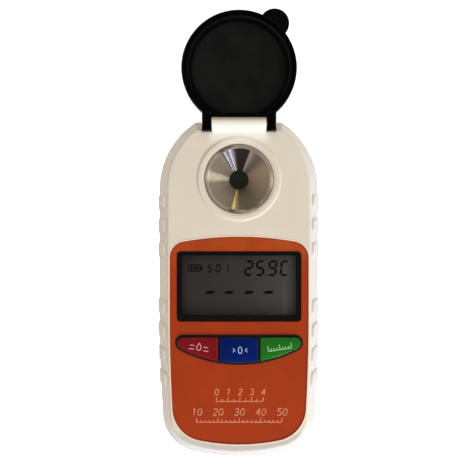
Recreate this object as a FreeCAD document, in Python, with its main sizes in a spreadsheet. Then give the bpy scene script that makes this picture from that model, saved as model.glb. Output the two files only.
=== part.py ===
import FreeCAD, Part
import math
import os
from types import SimpleNamespace

import Sketcher

# Handheld clinical refractometer, lying on its back with its sample lid folded fully open.
# Origin: centre of the back face. +X across the case, +Y towards the lid hinge, +Z out of the face.
# All sizes are millimetres.

os.makedirs("parts", exist_ok=True)
doc = FreeCAD.newDocument("refractometer")
dim = doc.addObject("Spreadsheet::Sheet", "dim")

SIZES = [
    # case
    ("case_width", 57.3),
    ("case_length", 122.0),
    ("seam_height", 10.0),
    ("head_centre", 36.0),
    ("head_end", 60.1),
    ("side_bend", 8.0),
    ("side_radius", 600.0),
    ("corner_radius", 14.0),
    ("end_radius", 70.0),
    ("front_lean", 3.85),
    ("front_end_lean", 5.3),
    ("front_head_lean", 4.2),
    ("back_lean", 2.6),
    ("back_end_lean", 3.4),
    ("wall", 1.8),
    ("floor_wall", 1.6),
    ("face_round", 0.8),
    ("back_round", 1.4),
    # grip pads on both long sides
    ("grip_width", 4.9),
    ("grip_pitch", 8.5),
    ("grip_proud", 0.35),
    ("grip_top_gap", 2.0),
    ("grip_low", 3.0),
    ("upper_grip", 31.1),
    ("lower_grip", 6.2),
    # perimeter seal
    ("seal_inset", 0.5),
    ("seal_width", 0.8),
    ("seal_height", 0.7),
    # case screws
    ("case_screw_inset", 13.65),
    ("case_screw_top", 49.0),
    ("case_screw_end", 47.0),
    ("case_screw_radius", 1.1),
    ("case_screw_head", 2.0),
    ("case_screw_head_height", 1.5),
    ("case_screw_length", 11.0),
    ("case_screw_sink", 4.0),
    ("case_post_radius", 3.2),
    ("front_post_radius", 2.8),
    ("thread_clearance", 0.08),
    # front label film
    ("label_side", 4.7),
    ("label_top", 18.65),
    ("label_end", 53.15),
    ("label_top_radius", 110.0),
    ("label_top_corner", 5.5),
    ("label_end_radius", 69.0),
    ("label_corner", 11.5),
    ("label_thickness", 0.25),
    ("label_recess", 0.5),
    ("label_gap", 0.15),
    # display
    ("window_y", 1.44),
    ("lens_side", 7.15),
    ("lens_height", 24.2),
    ("lens_corner", 1.4),
    ("lens_thickness", 1.15),
    ("lens_seat", 1.2),
    ("lens_ledge", 0.9),
    ("fit_gap", 0.1),
    ("view_side", 8.6),
    ("view_height", 21.5),
    ("lcd_side", 6.85),
    ("lcd_height", 25.0),
    ("lcd_thickness", 1.8),
    ("lcd_frame_lip", 1.0),
    ("lcd_frame_wall", 0.9),
    ("film_thickness", 0.15),
    ("strip_width", 1.6),
    ("strip_height", 1.2),
    ("strip_inset", 0.4),
    # keys
    ("key_top_edge", 15.4),
    ("key_bottom_edge", 25.6),
    ("key_tip_inset", 0.47),
    ("key_end_radius", 2.7),
    ("key_border", 0.6),
    ("key_gap", 0.12),
    ("key_web_x", 6.95),
    ("key_web", 0.5),
    ("key_frame_flange", 1.0),
    ("key_frame_depth", 0.7),
    ("key_frame_proud", 0.1),
    ("key_proud", 0.9),
    ("key_round", 0.45),
    ("key_travel", 0.4),
    ("key_centre_inset", 14.85),
    ("key_centre_y", 19.8),
    ("key_lug_width", 8.0),
    ("key_lug_reach", 0.9),
    ("key_lug_height", 0.9),
    ("key_foot_height", 0.6),
    ("switch_width", 6.0),
    ("switch_height", 1.5),
    ("switch_bore_depth", 1.0),
    ("plunger_radius", 1.75),
    ("running_gap", 0.05),
    # sample dish and prism
    ("dish_y", 38.7),
    ("dish_radius", 12.1),
    ("dish_lip_radius", 10.6),
    ("dish_depth", 4.75),
    ("dish_lip_drop", 0.25),
    ("dish_flange", 1.25),
    ("dish_shell", 1.15),
    ("prism_radius", 3.4),
    ("prism_disc", 1.2),
    ("prism_block_width", 8.0),
    ("prism_block_foot", 4.0),
    ("prism_block_depth", 5.6),
    ("prism_block_height", 4.4),
    ("collar_radius", 6.2),
    ("collar_bore", 5.0),
    ("collar_depth", 1.2),
    ("boss_radius", 14.8),
    ("boss_height", 0.6),
    ("boss_slope", 0.75),
    ("boss_chamfer", 0.6),
    ("dish_proud", 0.1),
    ("gasket_height", 0.5),
    ("gasket_width", 1.1),
    # optics below the prism
    ("chamber_width", 21.0),
    ("chamber_length", 23.0),
    ("chamber_wall", 1.4),
    ("chamber_low", 3.2),
    ("chamber_cover", 1.0),
    ("chamber_lug_x", 13.0),
    ("chamber_lug_y", 9.7),
    ("chamber_lug_other", 3.3),
    ("chamber_lug_radius", 1.9),
    ("chamber_lug_height", 2.0),
    ("chamber_screw_bite", 2.0),
    ("optic_height", 9.5),
    ("lamp_radius", 1.5),
    ("lamp_length", 3.9),
    ("lamp_flange_radius", 1.9),
    ("lamp_flange", 0.8),
    ("lamp_board_length", 8.0),
    ("lamp_board_height", 6.0),
    ("lens_holder", 1.0),
    ("lens_holder_x", 5.5),
    ("light_lens_radius", 2.35),
    ("light_lens_curve", 4.0),
    ("sensor_length", 9.0),
    ("sensor_height", 3.0),
    ("sensor_board_length", 12.0),
    ("sensor_board_height", 6.0),
    ("small_board", 1.0),
    ("ribbon_thickness", 0.3),
    ("ribbon_width", 2.8),
    ("ribbon_low", 8.6),
    ("ribbon_reach", 6.0),
    ("socket_length", 3.0),
    ("socket_width", 3.4),
    ("socket_y", 14.5),
    ("bead_width", 2.4),
    ("bead_depth", 1.6),
    ("lead_radius", 0.25),
    ("lead_gap", 1.2),
    ("lead_overlap", 1.5),
    # main board
    ("board_side", 7.15),
    ("board_top", 21.0),
    ("board_end", 43.5),
    ("board_corner", 1.5),
    ("board_thickness", 1.0),
    ("board_screw_inset", 10.15),
    ("board_screw_top", 18.0),
    ("board_screw_end", 41.0),
    ("board_screw_radius", 0.8),
    ("board_screw_head", 1.5),
    ("board_screw_head_height", 1.0),
    ("board_screw_length", 3.6),
    ("board_boss_radius", 1.9),
    ("chip_width", 10.0),
    ("chip_height", 1.0),
    ("chip_y", 2.0),
    ("crystal_x", 8.0),
    ("crystal_width", 7.0),
    ("crystal_depth", 2.4),
    ("component_y", 18.2),
    ("capacitor_radius", 1.5),
    ("capacitor_height", 2.6),
    ("capacitor_x", 4.5),
    # battery, its bay and door
    ("battery_radius", 5.25),
    ("battery_length", 44.5),
    ("battery_end", 50.9),
    ("battery_nub_radius", 1.9),
    ("battery_nub", 1.2),
    ("battery_round", 0.5),
    ("spring_room", 2.5),
    ("spring_radius", 2.6),
    ("spring_wire", 0.3),
    ("spring_turns", 3.0),
    ("contact_thickness", 0.4),
    ("contact_width", 7.0),
    ("contact_height", 8.0),
    ("tail_width", 2.0),
    ("strap_overlap", 1.5),
    ("strap_thickness", 0.3),
    ("bay_half_width", 7.2),
    ("bay_wall", 1.0),
    ("bay_roof", 0.9),
    ("bay_rib", 1.2),
    ("bay_gap", 0.1),
    ("door_half_width", 6.2),
    ("door_top", 5.4),
    ("door_rise", 6.0),
    ("door_recess", 0.25),
    ("door_gap", 0.15),
    ("door_rail", 0.8),
    ("door_rail_root", 1.2),
    ("door_rail_height", 0.7),
    ("foam_half_width", 4.0),
    ("foam_height", 0.6),
    ("thumb_groove", 0.8),
    ("thumb_groove_depth", 0.35),
    ("thumb_groove_pitch", 1.8),
    ("thumb_groove_y", 41.0),
    # hinge and lid
    ("hinge_y", 57.5),
    ("hinge_rise", 1.0),
    ("barrel_radius", 2.4),
    ("barrel_half_length", 9.3),
    ("barrel_foot", 12.0),
    ("barrel_foot_lean", 1.0),
    ("barrel_foot_reach", 2.0),
    ("knuckle_radius", 2.3),
    ("knuckle_width", 3.3),
    ("knuckle_side_gap", 0.2),
    ("knuckle_gap", 0.35),
    ("pin_radius", 0.8),
    ("lid_reach", 19.4),
    ("lid_radius", 19.9),
    ("lid_chord", 2.5),
    ("lid_rim", 0.7),
    ("lid_groove", 1.3),
    ("lid_groove_depth", 1.2),
    ("lid_wall", 1.7),
    ("lid_wall_drop", 0.2),
    ("lid_inner_chord", 4.0),
    ("lid_above", 0.8),
    ("lid_below", 3.0),
    ("lid_plate", 1.3),
    ("lid_round", 0.8),
    ("tab_radius", 5.08),
    ("tab_x", 12.2),
    ("tab_y", 15.4),
    ("tab_low", 1.4),
    ("tab_thickness", 1.6),
]

for row, (alias, number) in enumerate(SIZES, start=1):
    dim.set(f"A{row}", alias)
    dim.set(f"B{row}", str(number))
    dim.setAlias(f"B{row}", alias)
doc.recompute()


class Size:
    """A length, as a number and as the sheet formula that gives it."""

    def __init__(self, value, formula):
        self.value = value
        self.formula = formula

    def __add__(self, other):
        other = as_size(other)
        return Size(self.value + other.value, f"({self.formula} + {other.formula})")

    def __sub__(self, other):
        other = as_size(other)
        return Size(self.value - other.value, f"({self.formula} - {other.formula})")

    def __mul__(self, other):
        other = as_size(other)
        return Size(self.value * other.value, f"({self.formula} * {other.formula})")

    def __truediv__(self, other):
        other = as_size(other)
        return Size(self.value / other.value, f"({self.formula} / {other.formula})")

    def __radd__(self, other):
        return as_size(other) + self

    def __rsub__(self, other):
        return as_size(other) - self

    def __rmul__(self, other):
        return as_size(other) * self

    def __neg__(self):
        return 0 - self


def as_size(number):
    if isinstance(number, Size):
        return number
    return Size(float(number), f"({float(number)})")


d = SimpleNamespace(**{alias: Size(number, "dim." + alias) for alias, number in SIZES})

# Levels and places worked out from the driving sizes. The depth is what the cell, the board and
# the display need between the back and the face.
half_width = d.case_width / 2
half_length = d.case_length / 2
battery_z = d.floor_wall + d.foam_height + d.bay_gap + d.battery_radius
bay_high = battery_z + d.battery_radius + 2 * d.bay_gap
bay_end = d.battery_end + d.spring_room + d.contact_thickness + d.bay_wall
bay_top = d.battery_end - d.battery_length - d.contact_thickness - d.bay_wall
board_low = bay_high + d.bay_roof + d.strap_thickness
board_high = board_low + d.board_thickness
lcd_low = board_high + d.strip_height
lcd_top = lcd_low + d.lcd_thickness
ceiling = lcd_top + d.lcd_frame_lip
face = ceiling + d.wall
lens_low = face - d.lens_seat
key_high = face + d.key_proud
key_low = board_high + d.switch_height + d.key_foot_height
frame_low = ceiling - d.key_frame_depth
key_height = d.key_bottom_edge - d.key_top_edge
key_tip = half_width - d.key_tip_inset
key_arc_radius = (key_tip * key_tip + key_height * key_height) / (2 * key_height)
key_centre_x = half_width - d.key_centre_inset
dish_high = face + d.boss_height + d.dish_proud
prism_high = dish_high - d.dish_depth
flange_low = dish_high - d.dish_flange
dish_ledge = flange_low - d.gasket_height
collar_low = prism_high - d.prism_disc - d.collar_depth
hinge_z = face + d.hinge_rise
lens_width = d.case_width - 2 * d.lens_side
lcd_width = d.case_width - 2 * d.lcd_side
view_width = d.case_width - 2 * d.view_side
board_width = d.case_width - 2 * d.board_side
label_width = d.case_width - 2 * d.label_side
board_screw_x = half_width - d.board_screw_inset
case_screw_x = half_width - d.case_screw_inset

OVER = 3.0      # how far a cutting tool passes beyond what it cuts
SHARE = 0.5     # how far joined blocks reach into each other

TURNS = {
    "x": FreeCAD.Rotation(FreeCAD.Vector(0, 1, 0), 90),
    "y": FreeCAD.Rotation(FreeCAD.Vector(1, 0, 0), -90),
    "z": FreeCAD.Rotation(),
}
subparts = []


def bind(thing, prop, value):
    thing.setExpression(prop, as_size(value).formula)


def place(thing, x, y, z, turn="z", prop="Placement"):
    """Put a thing at a bound place, with its own axis turned along x, y or z."""
    x, y, z = as_size(x), as_size(y), as_size(z)
    setattr(thing, prop, FreeCAD.Placement(FreeCAD.Vector(x.value, y.value, z.value), TURNS[turn]))
    for axis, value in zip("xyz", (x, y, z)):
        bind(thing, f"{prop}.Base.{axis}", value)


def subpart(thing, node):
    thing.Label = node
    subparts.append(thing)
    return thing


def block(name, x, y, z, length, width, height):
    """A box between two opposite corners given as its low corner and its three extents."""
    box = doc.addObject("Part::Box", name)
    for prop, value in (("Length", length), ("Width", width), ("Height", height)):
        bind(box, prop, value)
    place(box, x, y, z)
    return box


def centred_block(name, x, y, z, length, width, height):
    return block(name, x - as_size(length) / 2, y - as_size(width) / 2, z, length, width, height)


def rod(name, radius, length, x, y, z, along="z"):
    cylinder = doc.addObject("Part::Cylinder", name)
    bind(cylinder, "Radius", radius)
    bind(cylinder, "Height", length)
    place(cylinder, x, y, z, along)
    return cylinder


def cone(name, low_radius, high_radius, height, x, y, z):
    taper = doc.addObject("Part::Cone", name)
    bind(taper, "Radius1", low_radius)
    bind(taper, "Radius2", high_radius)
    bind(taper, "Height", height)
    place(taper, x, y, z)
    return taper


def ball(name, radius, x, y, z):
    sphere = doc.addObject("Part::Sphere", name)
    bind(sphere, "Radius", radius)
    place(sphere, x, y, z)
    return sphere


def join(name, pieces):
    fused = doc.addObject("Part::MultiFuse", name)
    fused.Shapes = list(pieces)
    return fused


def cut(name, base, tools):
    result = doc.addObject("Part::Cut", name)
    result.Base = base
    result.Tool = tools[0] if len(tools) == 1 else join(name + "_tools", tools)
    return result


def common(name, first, second):
    result = doc.addObject("Part::Common", name)
    result.Base = first
    result.Tool = second
    return result


def group(name, pieces):
    compound = doc.addObject("Part::Compound", name)
    compound.Links = list(pieces)
    return compound


def extrude(name, sketch, height):
    solid = doc.addObject("Part::Extrusion", name)
    solid.Base = sketch
    solid.DirMode = "Normal"
    solid.Solid = True
    bind(solid, "LengthFwd", height)
    return solid


def loft(name, lower, upper):
    solid = doc.addObject("Part::Loft", name)
    solid.Sections = [lower, upper]
    solid.Solid = True
    solid.Ruled = True
    return solid


def loose_sketch(name, z):
    sketch = doc.addObject("Sketcher::SketchObject", name)
    place(sketch, 0, 0, z)
    return sketch


def round_edges(name, base, radius, wanted):
    """Fillet the edges of a Part object that the wanted test picks."""
    doc.recompute()
    fillet = doc.addObject("Part::Fillet", name)
    fillet.Base = base
    picked = [i for i, edge in enumerate(base.Shape.Edges, start=1) if wanted(edge)]
    fillet.Edges = [(i, radius.value, radius.value) for i in picked]
    return fillet


def lies_at(level, radius=None):
    """A test for edges that lie wholly at one height, and that are arcs of a radius if given."""
    def test(edge):
        box = edge.BoundBox
        if abs(box.ZMin - level.value) > 1e-4 or abs(box.ZMax - level.value) > 1e-4:
            return False
        if radius is None:
            return True
        return hasattr(edge.Curve, "Radius") and abs(edge.Curve.Radius - radius.value) < 1e-4
    return test


# Sketch drawing. Curves run counter-clockwise, so each one ends where the next one starts.
ORIGIN, Y_AXIS = "origin", "y axis"
START, END, CENTRE = "start", "end", "centre"
SKETCH_WORDS = {ORIGIN: -1, Y_AXIS: -2, START: 1, END: 2, CENTRE: 3}


def line(sketch, start, end):
    return sketch.addGeometry(Part.LineSegment(FreeCAD.Vector(*start, 0), FreeCAD.Vector(*end, 0)))


def arc(sketch, centre, radius, first, last):
    """An arc between two angles in radians."""
    circle = Part.Circle(FreeCAD.Vector(*centre, 0), FreeCAD.Vector(0, 0, 1), radius)
    return sketch.addGeometry(Part.ArcOfCircle(circle, first, last))


def spelled(where):
    """The sketcher's own numbers for curves and their points."""
    return [SKETCH_WORDS.get(word, word) for word in where]


def tie(sketch, kind, *where):
    sketch.addConstraint(Sketcher.Constraint(kind, *spelled(where)))


def fix(sketch, kind, where, value):
    """Add a measured constraint whose value follows the sheet."""
    value = as_size(value)
    index = sketch.addConstraint(Sketcher.Constraint(kind, *spelled(where), value.value))
    sketch.setExpression(f"Constraints[{index}]", value.formula)


def fix_point(sketch, curve, end, x, y):
    fix(sketch, "DistanceX", (ORIGIN, START, curve, end), x)
    fix(sketch, "DistanceY", (ORIGIN, START, curve, end), y)


def polygon(sketch, corners):
    count = len(corners)
    spots = [(as_size(x), as_size(y)) for x, y in corners]
    for i, (x, y) in enumerate(spots):
        following = spots[(i + 1) % count]
        line(sketch, (x.value, y.value), (following[0].value, following[1].value))
    for i, (x, y) in enumerate(spots):
        tie(sketch, "Coincident", i, END, (i + 1) % count, START)
        fix_point(sketch, i, START, x, y)
    return sketch


def rectangle(sketch, length, width, x=0, y=0):
    dx, dy = as_size(length) / 2, as_size(width) / 2
    return polygon(sketch, [(x - dx, y - dy), (x + dx, y - dy), (x + dx, y + dy), (x - dx, y + dy)])


def disc(sketch, radius, x=0, y=0):
    x, y, radius = as_size(x), as_size(y), as_size(radius)
    circle = Part.Circle(FreeCAD.Vector(x.value, y.value, 0), FreeCAD.Vector(0, 0, 1), radius.value)
    curve = sketch.addGeometry(circle)
    fix(sketch, "Radius", (curve,), radius)
    fix_point(sketch, curve, CENTRE, x, y)
    return sketch


def rounded_rectangle(sketch, length, width, radius, y=0):
    """A rectangle centred at x = 0 with four round corners."""
    dx, dy, r, y = as_size(length) / 2, as_size(width) / 2, as_size(radius), as_size(y)
    corners = [(dx - r, y - dy + r), (dx - r, y + dy - r), (r - dx, y + dy - r), (r - dx, y - dy + r)]
    spots = [(cx.value, cy.value) for cx, cy in corners]
    outward = [(0, -1), (1, 0), (0, 1), (-1, 0)]
    for i, (cx, cy) in enumerate(spots):
        back = spots[i - 1]
        side = outward[i]
        shift = (side[0] * r.value, side[1] * r.value)
        line(sketch, (back[0] + shift[0], back[1] + shift[1]), (cx + shift[0], cy + shift[1]))
        arc(sketch, (cx, cy), r.value, (i - 1) * math.pi / 2, i * math.pi / 2)
    for i, (cx, cy) in enumerate(corners):
        tie(sketch, "Tangent", 2 * i, END, 2 * i + 1, START)
        tie(sketch, "Tangent", 2 * i + 1, END, (2 * i + 2) % 8, START)
        if i == 0:
            fix(sketch, "Radius", (1,), r)
            fix_point(sketch, 1, CENTRE, cx, cy)
        if i == 2:
            fix_point(sketch, 5, CENTRE, cx, cy)
            fix(sketch, "Radius", (5,), r)
    tie(sketch, "Horizontal", 0)
    tie(sketch, "Vertical", 2)
    return sketch


def meeting(first, first_radius, second, second_radius):
    """Where two circles meet, on the side of larger x."""
    dx, dy = second[0] - first[0], second[1] - first[1]
    gap = math.hypot(dx, dy)
    along = (gap * gap + first_radius ** 2 - second_radius ** 2) / (2 * gap)
    off = math.sqrt(first_radius ** 2 - along ** 2)
    middle = (first[0] + along * dx / gap, first[1] + along * dy / gap)
    sides = [(middle[0] + s * off * dy / gap, middle[1] - s * off * dx / gap) for s in (1, -1)]
    return max(sides)


def tapered_outline(sketch, half, bend, side_radius, corner, end, end_radius, top):
    """Straight sides that bend inwards below the bend, round corners and a bowed lower end.

    top draws the upper curves between the two sides and ties them.
    """
    bend_y, side_centre = -bend.value, half.value - side_radius.value
    end_centre = end_radius.value - end.value
    corner_x, corner_y = meeting((side_centre, bend_y), side_radius.value - corner.value,
                                 (0, end_centre), end_radius.value - corner.value)
    low_turn = math.atan2(corner_x, end_centre - corner_y)
    side_turn = math.atan2(bend_y - corner_y, corner_x - side_centre)
    down = -math.pi / 2
    bottom = arc(sketch, (0, end_centre), end_radius.value, down - low_turn, down + low_turn)
    right_corner = arc(sketch, (corner_x, corner_y), corner.value, down + low_turn, -side_turn)
    right_side = arc(sketch, (side_centre, bend_y), side_radius.value, -side_turn, 0)
    left_side = arc(sketch, (-side_centre, bend_y), side_radius.value, math.pi, math.pi + side_turn)
    left_corner = arc(sketch, (-corner_x, corner_y), corner.value, math.pi + side_turn,
                      3 * math.pi / 2 - low_turn)
    side_top = top(sketch, right_side, left_side)
    tie(sketch, "Tangent", bottom, END, right_corner, START)
    tie(sketch, "Tangent", right_corner, END, right_side, START)
    tie(sketch, "Tangent", left_side, END, left_corner, START)
    tie(sketch, "Tangent", left_corner, END, bottom, START)
    tie(sketch, "PointOnObject", bottom, CENTRE, Y_AXIS)
    fix(sketch, "Radius", (bottom,), end_radius)
    fix(sketch, "DistanceY", (ORIGIN, START, bottom, CENTRE), end_radius - end)
    for curve in (right_corner, left_corner):
        fix(sketch, "Radius", (curve,), corner)
    for curve, last in ((right_side, END), (left_side, START)):
        fix(sketch, "Radius", (curve,), side_radius)
        fix(sketch, "DistanceY", (ORIGIN, START, curve, last), -bend)
    fix(sketch, "DistanceX", (side_top, START, ORIGIN, START), -half)
    return sketch


def case_outline(name, z, inset, end_inset, head_inset):
    """The case seen from the front: a round head cut flat at the hinge, and a bowed lower end."""
    half, top_y, centre = half_width - inset, d.head_end - head_inset, d.head_centre

    def head(sketch, right_side, left_side):
        reach = math.acos((top_y.value - centre.value) / half.value)
        quarter = math.pi / 2
        spot = (half.value * math.sin(reach), top_y.value)
        right = line(sketch, (half.value, -d.side_bend.value), (half.value, centre.value))
        right_head = arc(sketch, (0, centre.value), half.value, 0, quarter - reach)
        flat = line(sketch, spot, (-spot[0], spot[1]))
        left_head = arc(sketch, (0, centre.value), half.value, quarter + reach, math.pi)
        left = line(sketch, (-half.value, centre.value), (-half.value, -d.side_bend.value))
        tie(sketch, "Tangent", right_side, END, right, START)
        tie(sketch, "Tangent", right, END, right_head, START)
        tie(sketch, "Coincident", right_head, END, flat, START)
        tie(sketch, "Coincident", flat, END, left_head, START)
        tie(sketch, "Tangent", left_head, END, left, START)
        tie(sketch, "Tangent", left, END, left_side, START)
        tie(sketch, "Vertical", right)
        tie(sketch, "Vertical", left)
        tie(sketch, "Horizontal", flat)
        tie(sketch, "PointOnObject", right_head, CENTRE, Y_AXIS)
        tie(sketch, "Coincident", right_head, CENTRE, left_head, CENTRE)
        fix(sketch, "DistanceY", (ORIGIN, START, right_head, CENTRE), centre)
        fix(sketch, "DistanceY", (ORIGIN, START, flat, START), top_y)
        return right

    return tapered_outline(loose_sketch(name, z), half, d.side_bend, d.side_radius - inset,
                           d.corner_radius - inset, half_length - end_inset,
                           d.end_radius - 2 * end_inset, head)


def label_outline(sketch, grow):
    """The front label: an arched top with round corners above the same kind of lower end."""
    grow = as_size(grow)
    half, top_y = label_width / 2 + grow, d.label_top + grow
    arch_radius, corner = d.label_top_radius + grow, d.label_top_corner + grow

    def arch(sketch, right_side, left_side):
        arch_y = top_y.value - arch_radius.value
        corner_x = half.value - corner.value
        rise = math.sqrt((arch_radius.value - corner.value) ** 2 - corner_x ** 2)
        corner_y = arch_y + rise
        turn = math.atan2(rise, corner_x)
        right = line(sketch, (half.value, -d.side_bend.value), (half.value, corner_y))
        right_corner = arc(sketch, (corner_x, corner_y), corner.value, 0, turn)
        crown = arc(sketch, (0, arch_y), arch_radius.value, turn, math.pi - turn)
        left_corner = arc(sketch, (-corner_x, corner_y), corner.value, math.pi - turn, math.pi)
        left = line(sketch, (-half.value, corner_y), (-half.value, -d.side_bend.value))
        chain = [right_side, right, right_corner, crown, left_corner, left, left_side]
        for first, second in zip(chain, chain[1:]):
            tie(sketch, "Tangent", first, END, second, START)
        tie(sketch, "Vertical", right)
        tie(sketch, "Vertical", left)
        tie(sketch, "PointOnObject", crown, CENTRE, Y_AXIS)
        fix(sketch, "Radius", (crown,), arch_radius)
        fix(sketch, "DistanceY", (ORIGIN, START, crown, CENTRE), top_y - arch_radius)
        fix(sketch, "Radius", (right_corner,), corner)
        fix(sketch, "Radius", (left_corner,), corner)
        return right

    return tapered_outline(sketch, half, d.side_bend, d.side_radius, d.label_corner + grow,
                           d.label_end + grow, d.label_end_radius + grow, arch)


def key_outline(sketch, grow):
    """The opening of the three keys: a straight upper edge over one long arc, with round ends."""
    grow = as_size(grow)
    top_y, bottom_y = grow - d.key_top_edge, -d.key_bottom_edge - grow
    long_radius, end_radius = key_arc_radius + grow, d.key_end_radius + grow
    long_centre = bottom_y + long_radius
    end_y = top_y - end_radius
    rise = long_centre.value - end_y.value
    end_x = math.sqrt((long_radius.value - end_radius.value) ** 2 - rise ** 2)
    turn = math.atan2(end_x, rise)
    down = -math.pi / 2
    bottom = arc(sketch, (0, long_centre.value), long_radius.value, down - turn, down + turn)
    right = arc(sketch, (end_x, end_y.value), end_radius.value, down + turn, math.pi / 2)
    top = line(sketch, (end_x, top_y.value), (-end_x, top_y.value))
    left = arc(sketch, (-end_x, end_y.value), end_radius.value, math.pi / 2, 3 * math.pi / 2 - turn)
    chain = [bottom, right, top, left, bottom]
    for first, second in zip(chain, chain[1:]):
        tie(sketch, "Tangent", first, END, second, START)
    tie(sketch, "Horizontal", top)
    tie(sketch, "PointOnObject", bottom, CENTRE, Y_AXIS)
    fix(sketch, "Radius", (bottom,), long_radius)
    fix(sketch, "Radius", (right,), end_radius)
    fix(sketch, "Radius", (left,), end_radius)
    fix(sketch, "DistanceY", (ORIGIN, START, bottom, CENTRE), long_centre)
    fix(sketch, "DistanceY", (ORIGIN, START, top, START), top_y)
    return sketch


def cut_disc(sketch, radius, chord):
    """A disc centred at the lid's reach from the hinge, cut off by a chord near the hinge."""
    radius, chord = as_size(radius), as_size(chord)
    centre = d.lid_reach
    turn = math.asin((chord.value - centre.value) / radius.value)
    spot = radius.value * math.cos(turn)
    first = len(sketch.Geometry)
    curve = arc(sketch, (0, centre.value), radius.value, turn, math.pi - turn)
    flat = line(sketch, (-spot, chord.value), (spot, chord.value))
    assert (curve, flat) == (first, first + 1)
    tie(sketch, "Coincident", curve, END, flat, START)
    tie(sketch, "Coincident", flat, END, curve, START)
    tie(sketch, "Horizontal", flat)
    fix(sketch, "Radius", (curve,), radius)
    fix_point(sketch, curve, CENTRE, 0, centre)
    fix(sketch, "DistanceY", (ORIGIN, START, flat, START), chord)
    return sketch


class Piece:
    """A PartDesign body that becomes one sub-part."""

    def __init__(self, node, x=0, y=0, z=0):
        self.body = doc.addObject("PartDesign::Body", node)
        place(self.body, x, y, z)
        subpart(self.body, node)

    def sketch(self, plane="XY", x=0, y=0, z=0):
        """A sketch on an origin plane, moved along that plane's own x, y and normal."""
        sketch = self.body.newObject("Sketcher::SketchObject", "sketch")
        origin_plane = next(f for f in self.body.Origin.OriginFeatures if f.Role == plane + "_Plane")
        sketch.AttachmentSupport = [(origin_plane, "")]
        sketch.MapMode = "FlatFace"
        place(sketch, x, y, z, prop="AttachmentOffset")
        return sketch

    def feature(self, kind, sketch, length, backwards):
        feature = self.body.newObject("PartDesign::" + kind, kind.lower())
        feature.Profile = sketch
        bind(feature, "Length", length)
        feature.Reversed = backwards
        return feature

    def pad(self, sketch, length, backwards=False):
        """Add a prism along the sketch's normal."""
        return self.feature("Pad", sketch, length, backwards)

    def pocket(self, sketch, depth, backwards=False):
        """Cut against the sketch's normal, or along it when backwards."""
        return self.feature("Pocket", sketch, depth, backwards)

    def turned(self, sketch):
        """Revolve a profile about its sketch's own vertical axis."""
        feature = self.body.newObject("PartDesign::Revolution", "revolution")
        feature.Profile = sketch
        feature.ReferenceAxis = (sketch, ["V_Axis"])
        feature.Angle = 360
        return feature

    def round(self, radius, wanted):
        """Fillet the edges of the present shape that the wanted test picks."""
        doc.recompute()
        base = self.body.Tip
        names = [f"Edge{i}" for i, edge in enumerate(base.Shape.Edges, start=1) if wanted(edge)]
        fillet = self.body.newObject("PartDesign::Fillet", "fillet")
        fillet.Base = (base, names)
        bind(fillet, "Radius", radius)
        return fillet


# Case halves
seam = case_outline("seam_outline", d.seam_height, *3 * [as_size(0)])
grip_seam = case_outline("grip_seam_outline", d.seam_height, *3 * [-d.grip_proud])


def grip_columns(part_name):
    """Tall rounded bars across the case, one at each pair of grip pads."""
    radius = d.grip_width / 2
    bars = []
    reach = half_width + OVER
    places = [d.upper_grip - i * d.grip_pitch for i in range(3)]
    places += [-d.lower_grip - i * d.grip_pitch for i in range(4)]
    for i, y in enumerate(places):
        name = f"{part_name}_grip_{i}"
        low, high = d.grip_low + radius, face - d.grip_top_gap - radius
        bars.append(block(name, -reach, y - radius, low, 2 * reach, d.grip_width, high - low))
        bars.append(rod(name + "_top", radius, 2 * reach, -reach, y, high, "x"))
        bars.append(rod(name + "_low", radius, 2 * reach, -reach, y, low, "x"))
    return join(part_name + "_grips", bars)


def case_half(name, outer_z, lean, end_lean, head_lean, inner_z, edge_round):
    """One hollow half: an outside that leans in from the seam, with grip pads, less its inside."""
    outer = case_outline(name + "_outline", outer_z, lean, end_lean, head_lean)
    grown = case_outline(name + "_grip_outline", outer_z, lean - d.grip_proud,
                         end_lean - d.grip_proud, head_lean - d.grip_proud)
    share = (inner_z - d.seam_height) / (outer_z - d.seam_height)
    inner_seam = case_outline(name + "_inner_seam", d.seam_height, *3 * [d.wall])
    inner = case_outline(name + "_inner_outline", inner_z, lean * share + d.wall,
                         end_lean * share + d.wall, head_lean * share + d.wall)
    skin = round_edges(name + "_skin", loft(name + "_loft", seam, outer), edge_round, lies_at(outer_z))
    grips = common(name + "_grip_pads", loft(name + "_grip_loft", grip_seam, grown),
                   grip_columns(name))
    solid = join(name + "_solid", [skin, grips])
    return solid, loft(name + "_hollow", inner_seam, inner)


def case_posts():
    """Where the four case screws stand."""
    return [(side * case_screw_x, y) for y in (d.case_screw_top, -d.case_screw_end)
            for side in (1, -1)]


def board_posts():
    return [(side * board_screw_x, y) for y in (d.board_screw_top, -d.board_screw_end)
            for side in (1, -1)]


def chamber_posts():
    return [(side * d.chamber_lug_x, d.dish_y + y) for y in (-d.chamber_lug_y, d.chamber_lug_other)
            for side in (1, -1)]


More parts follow.
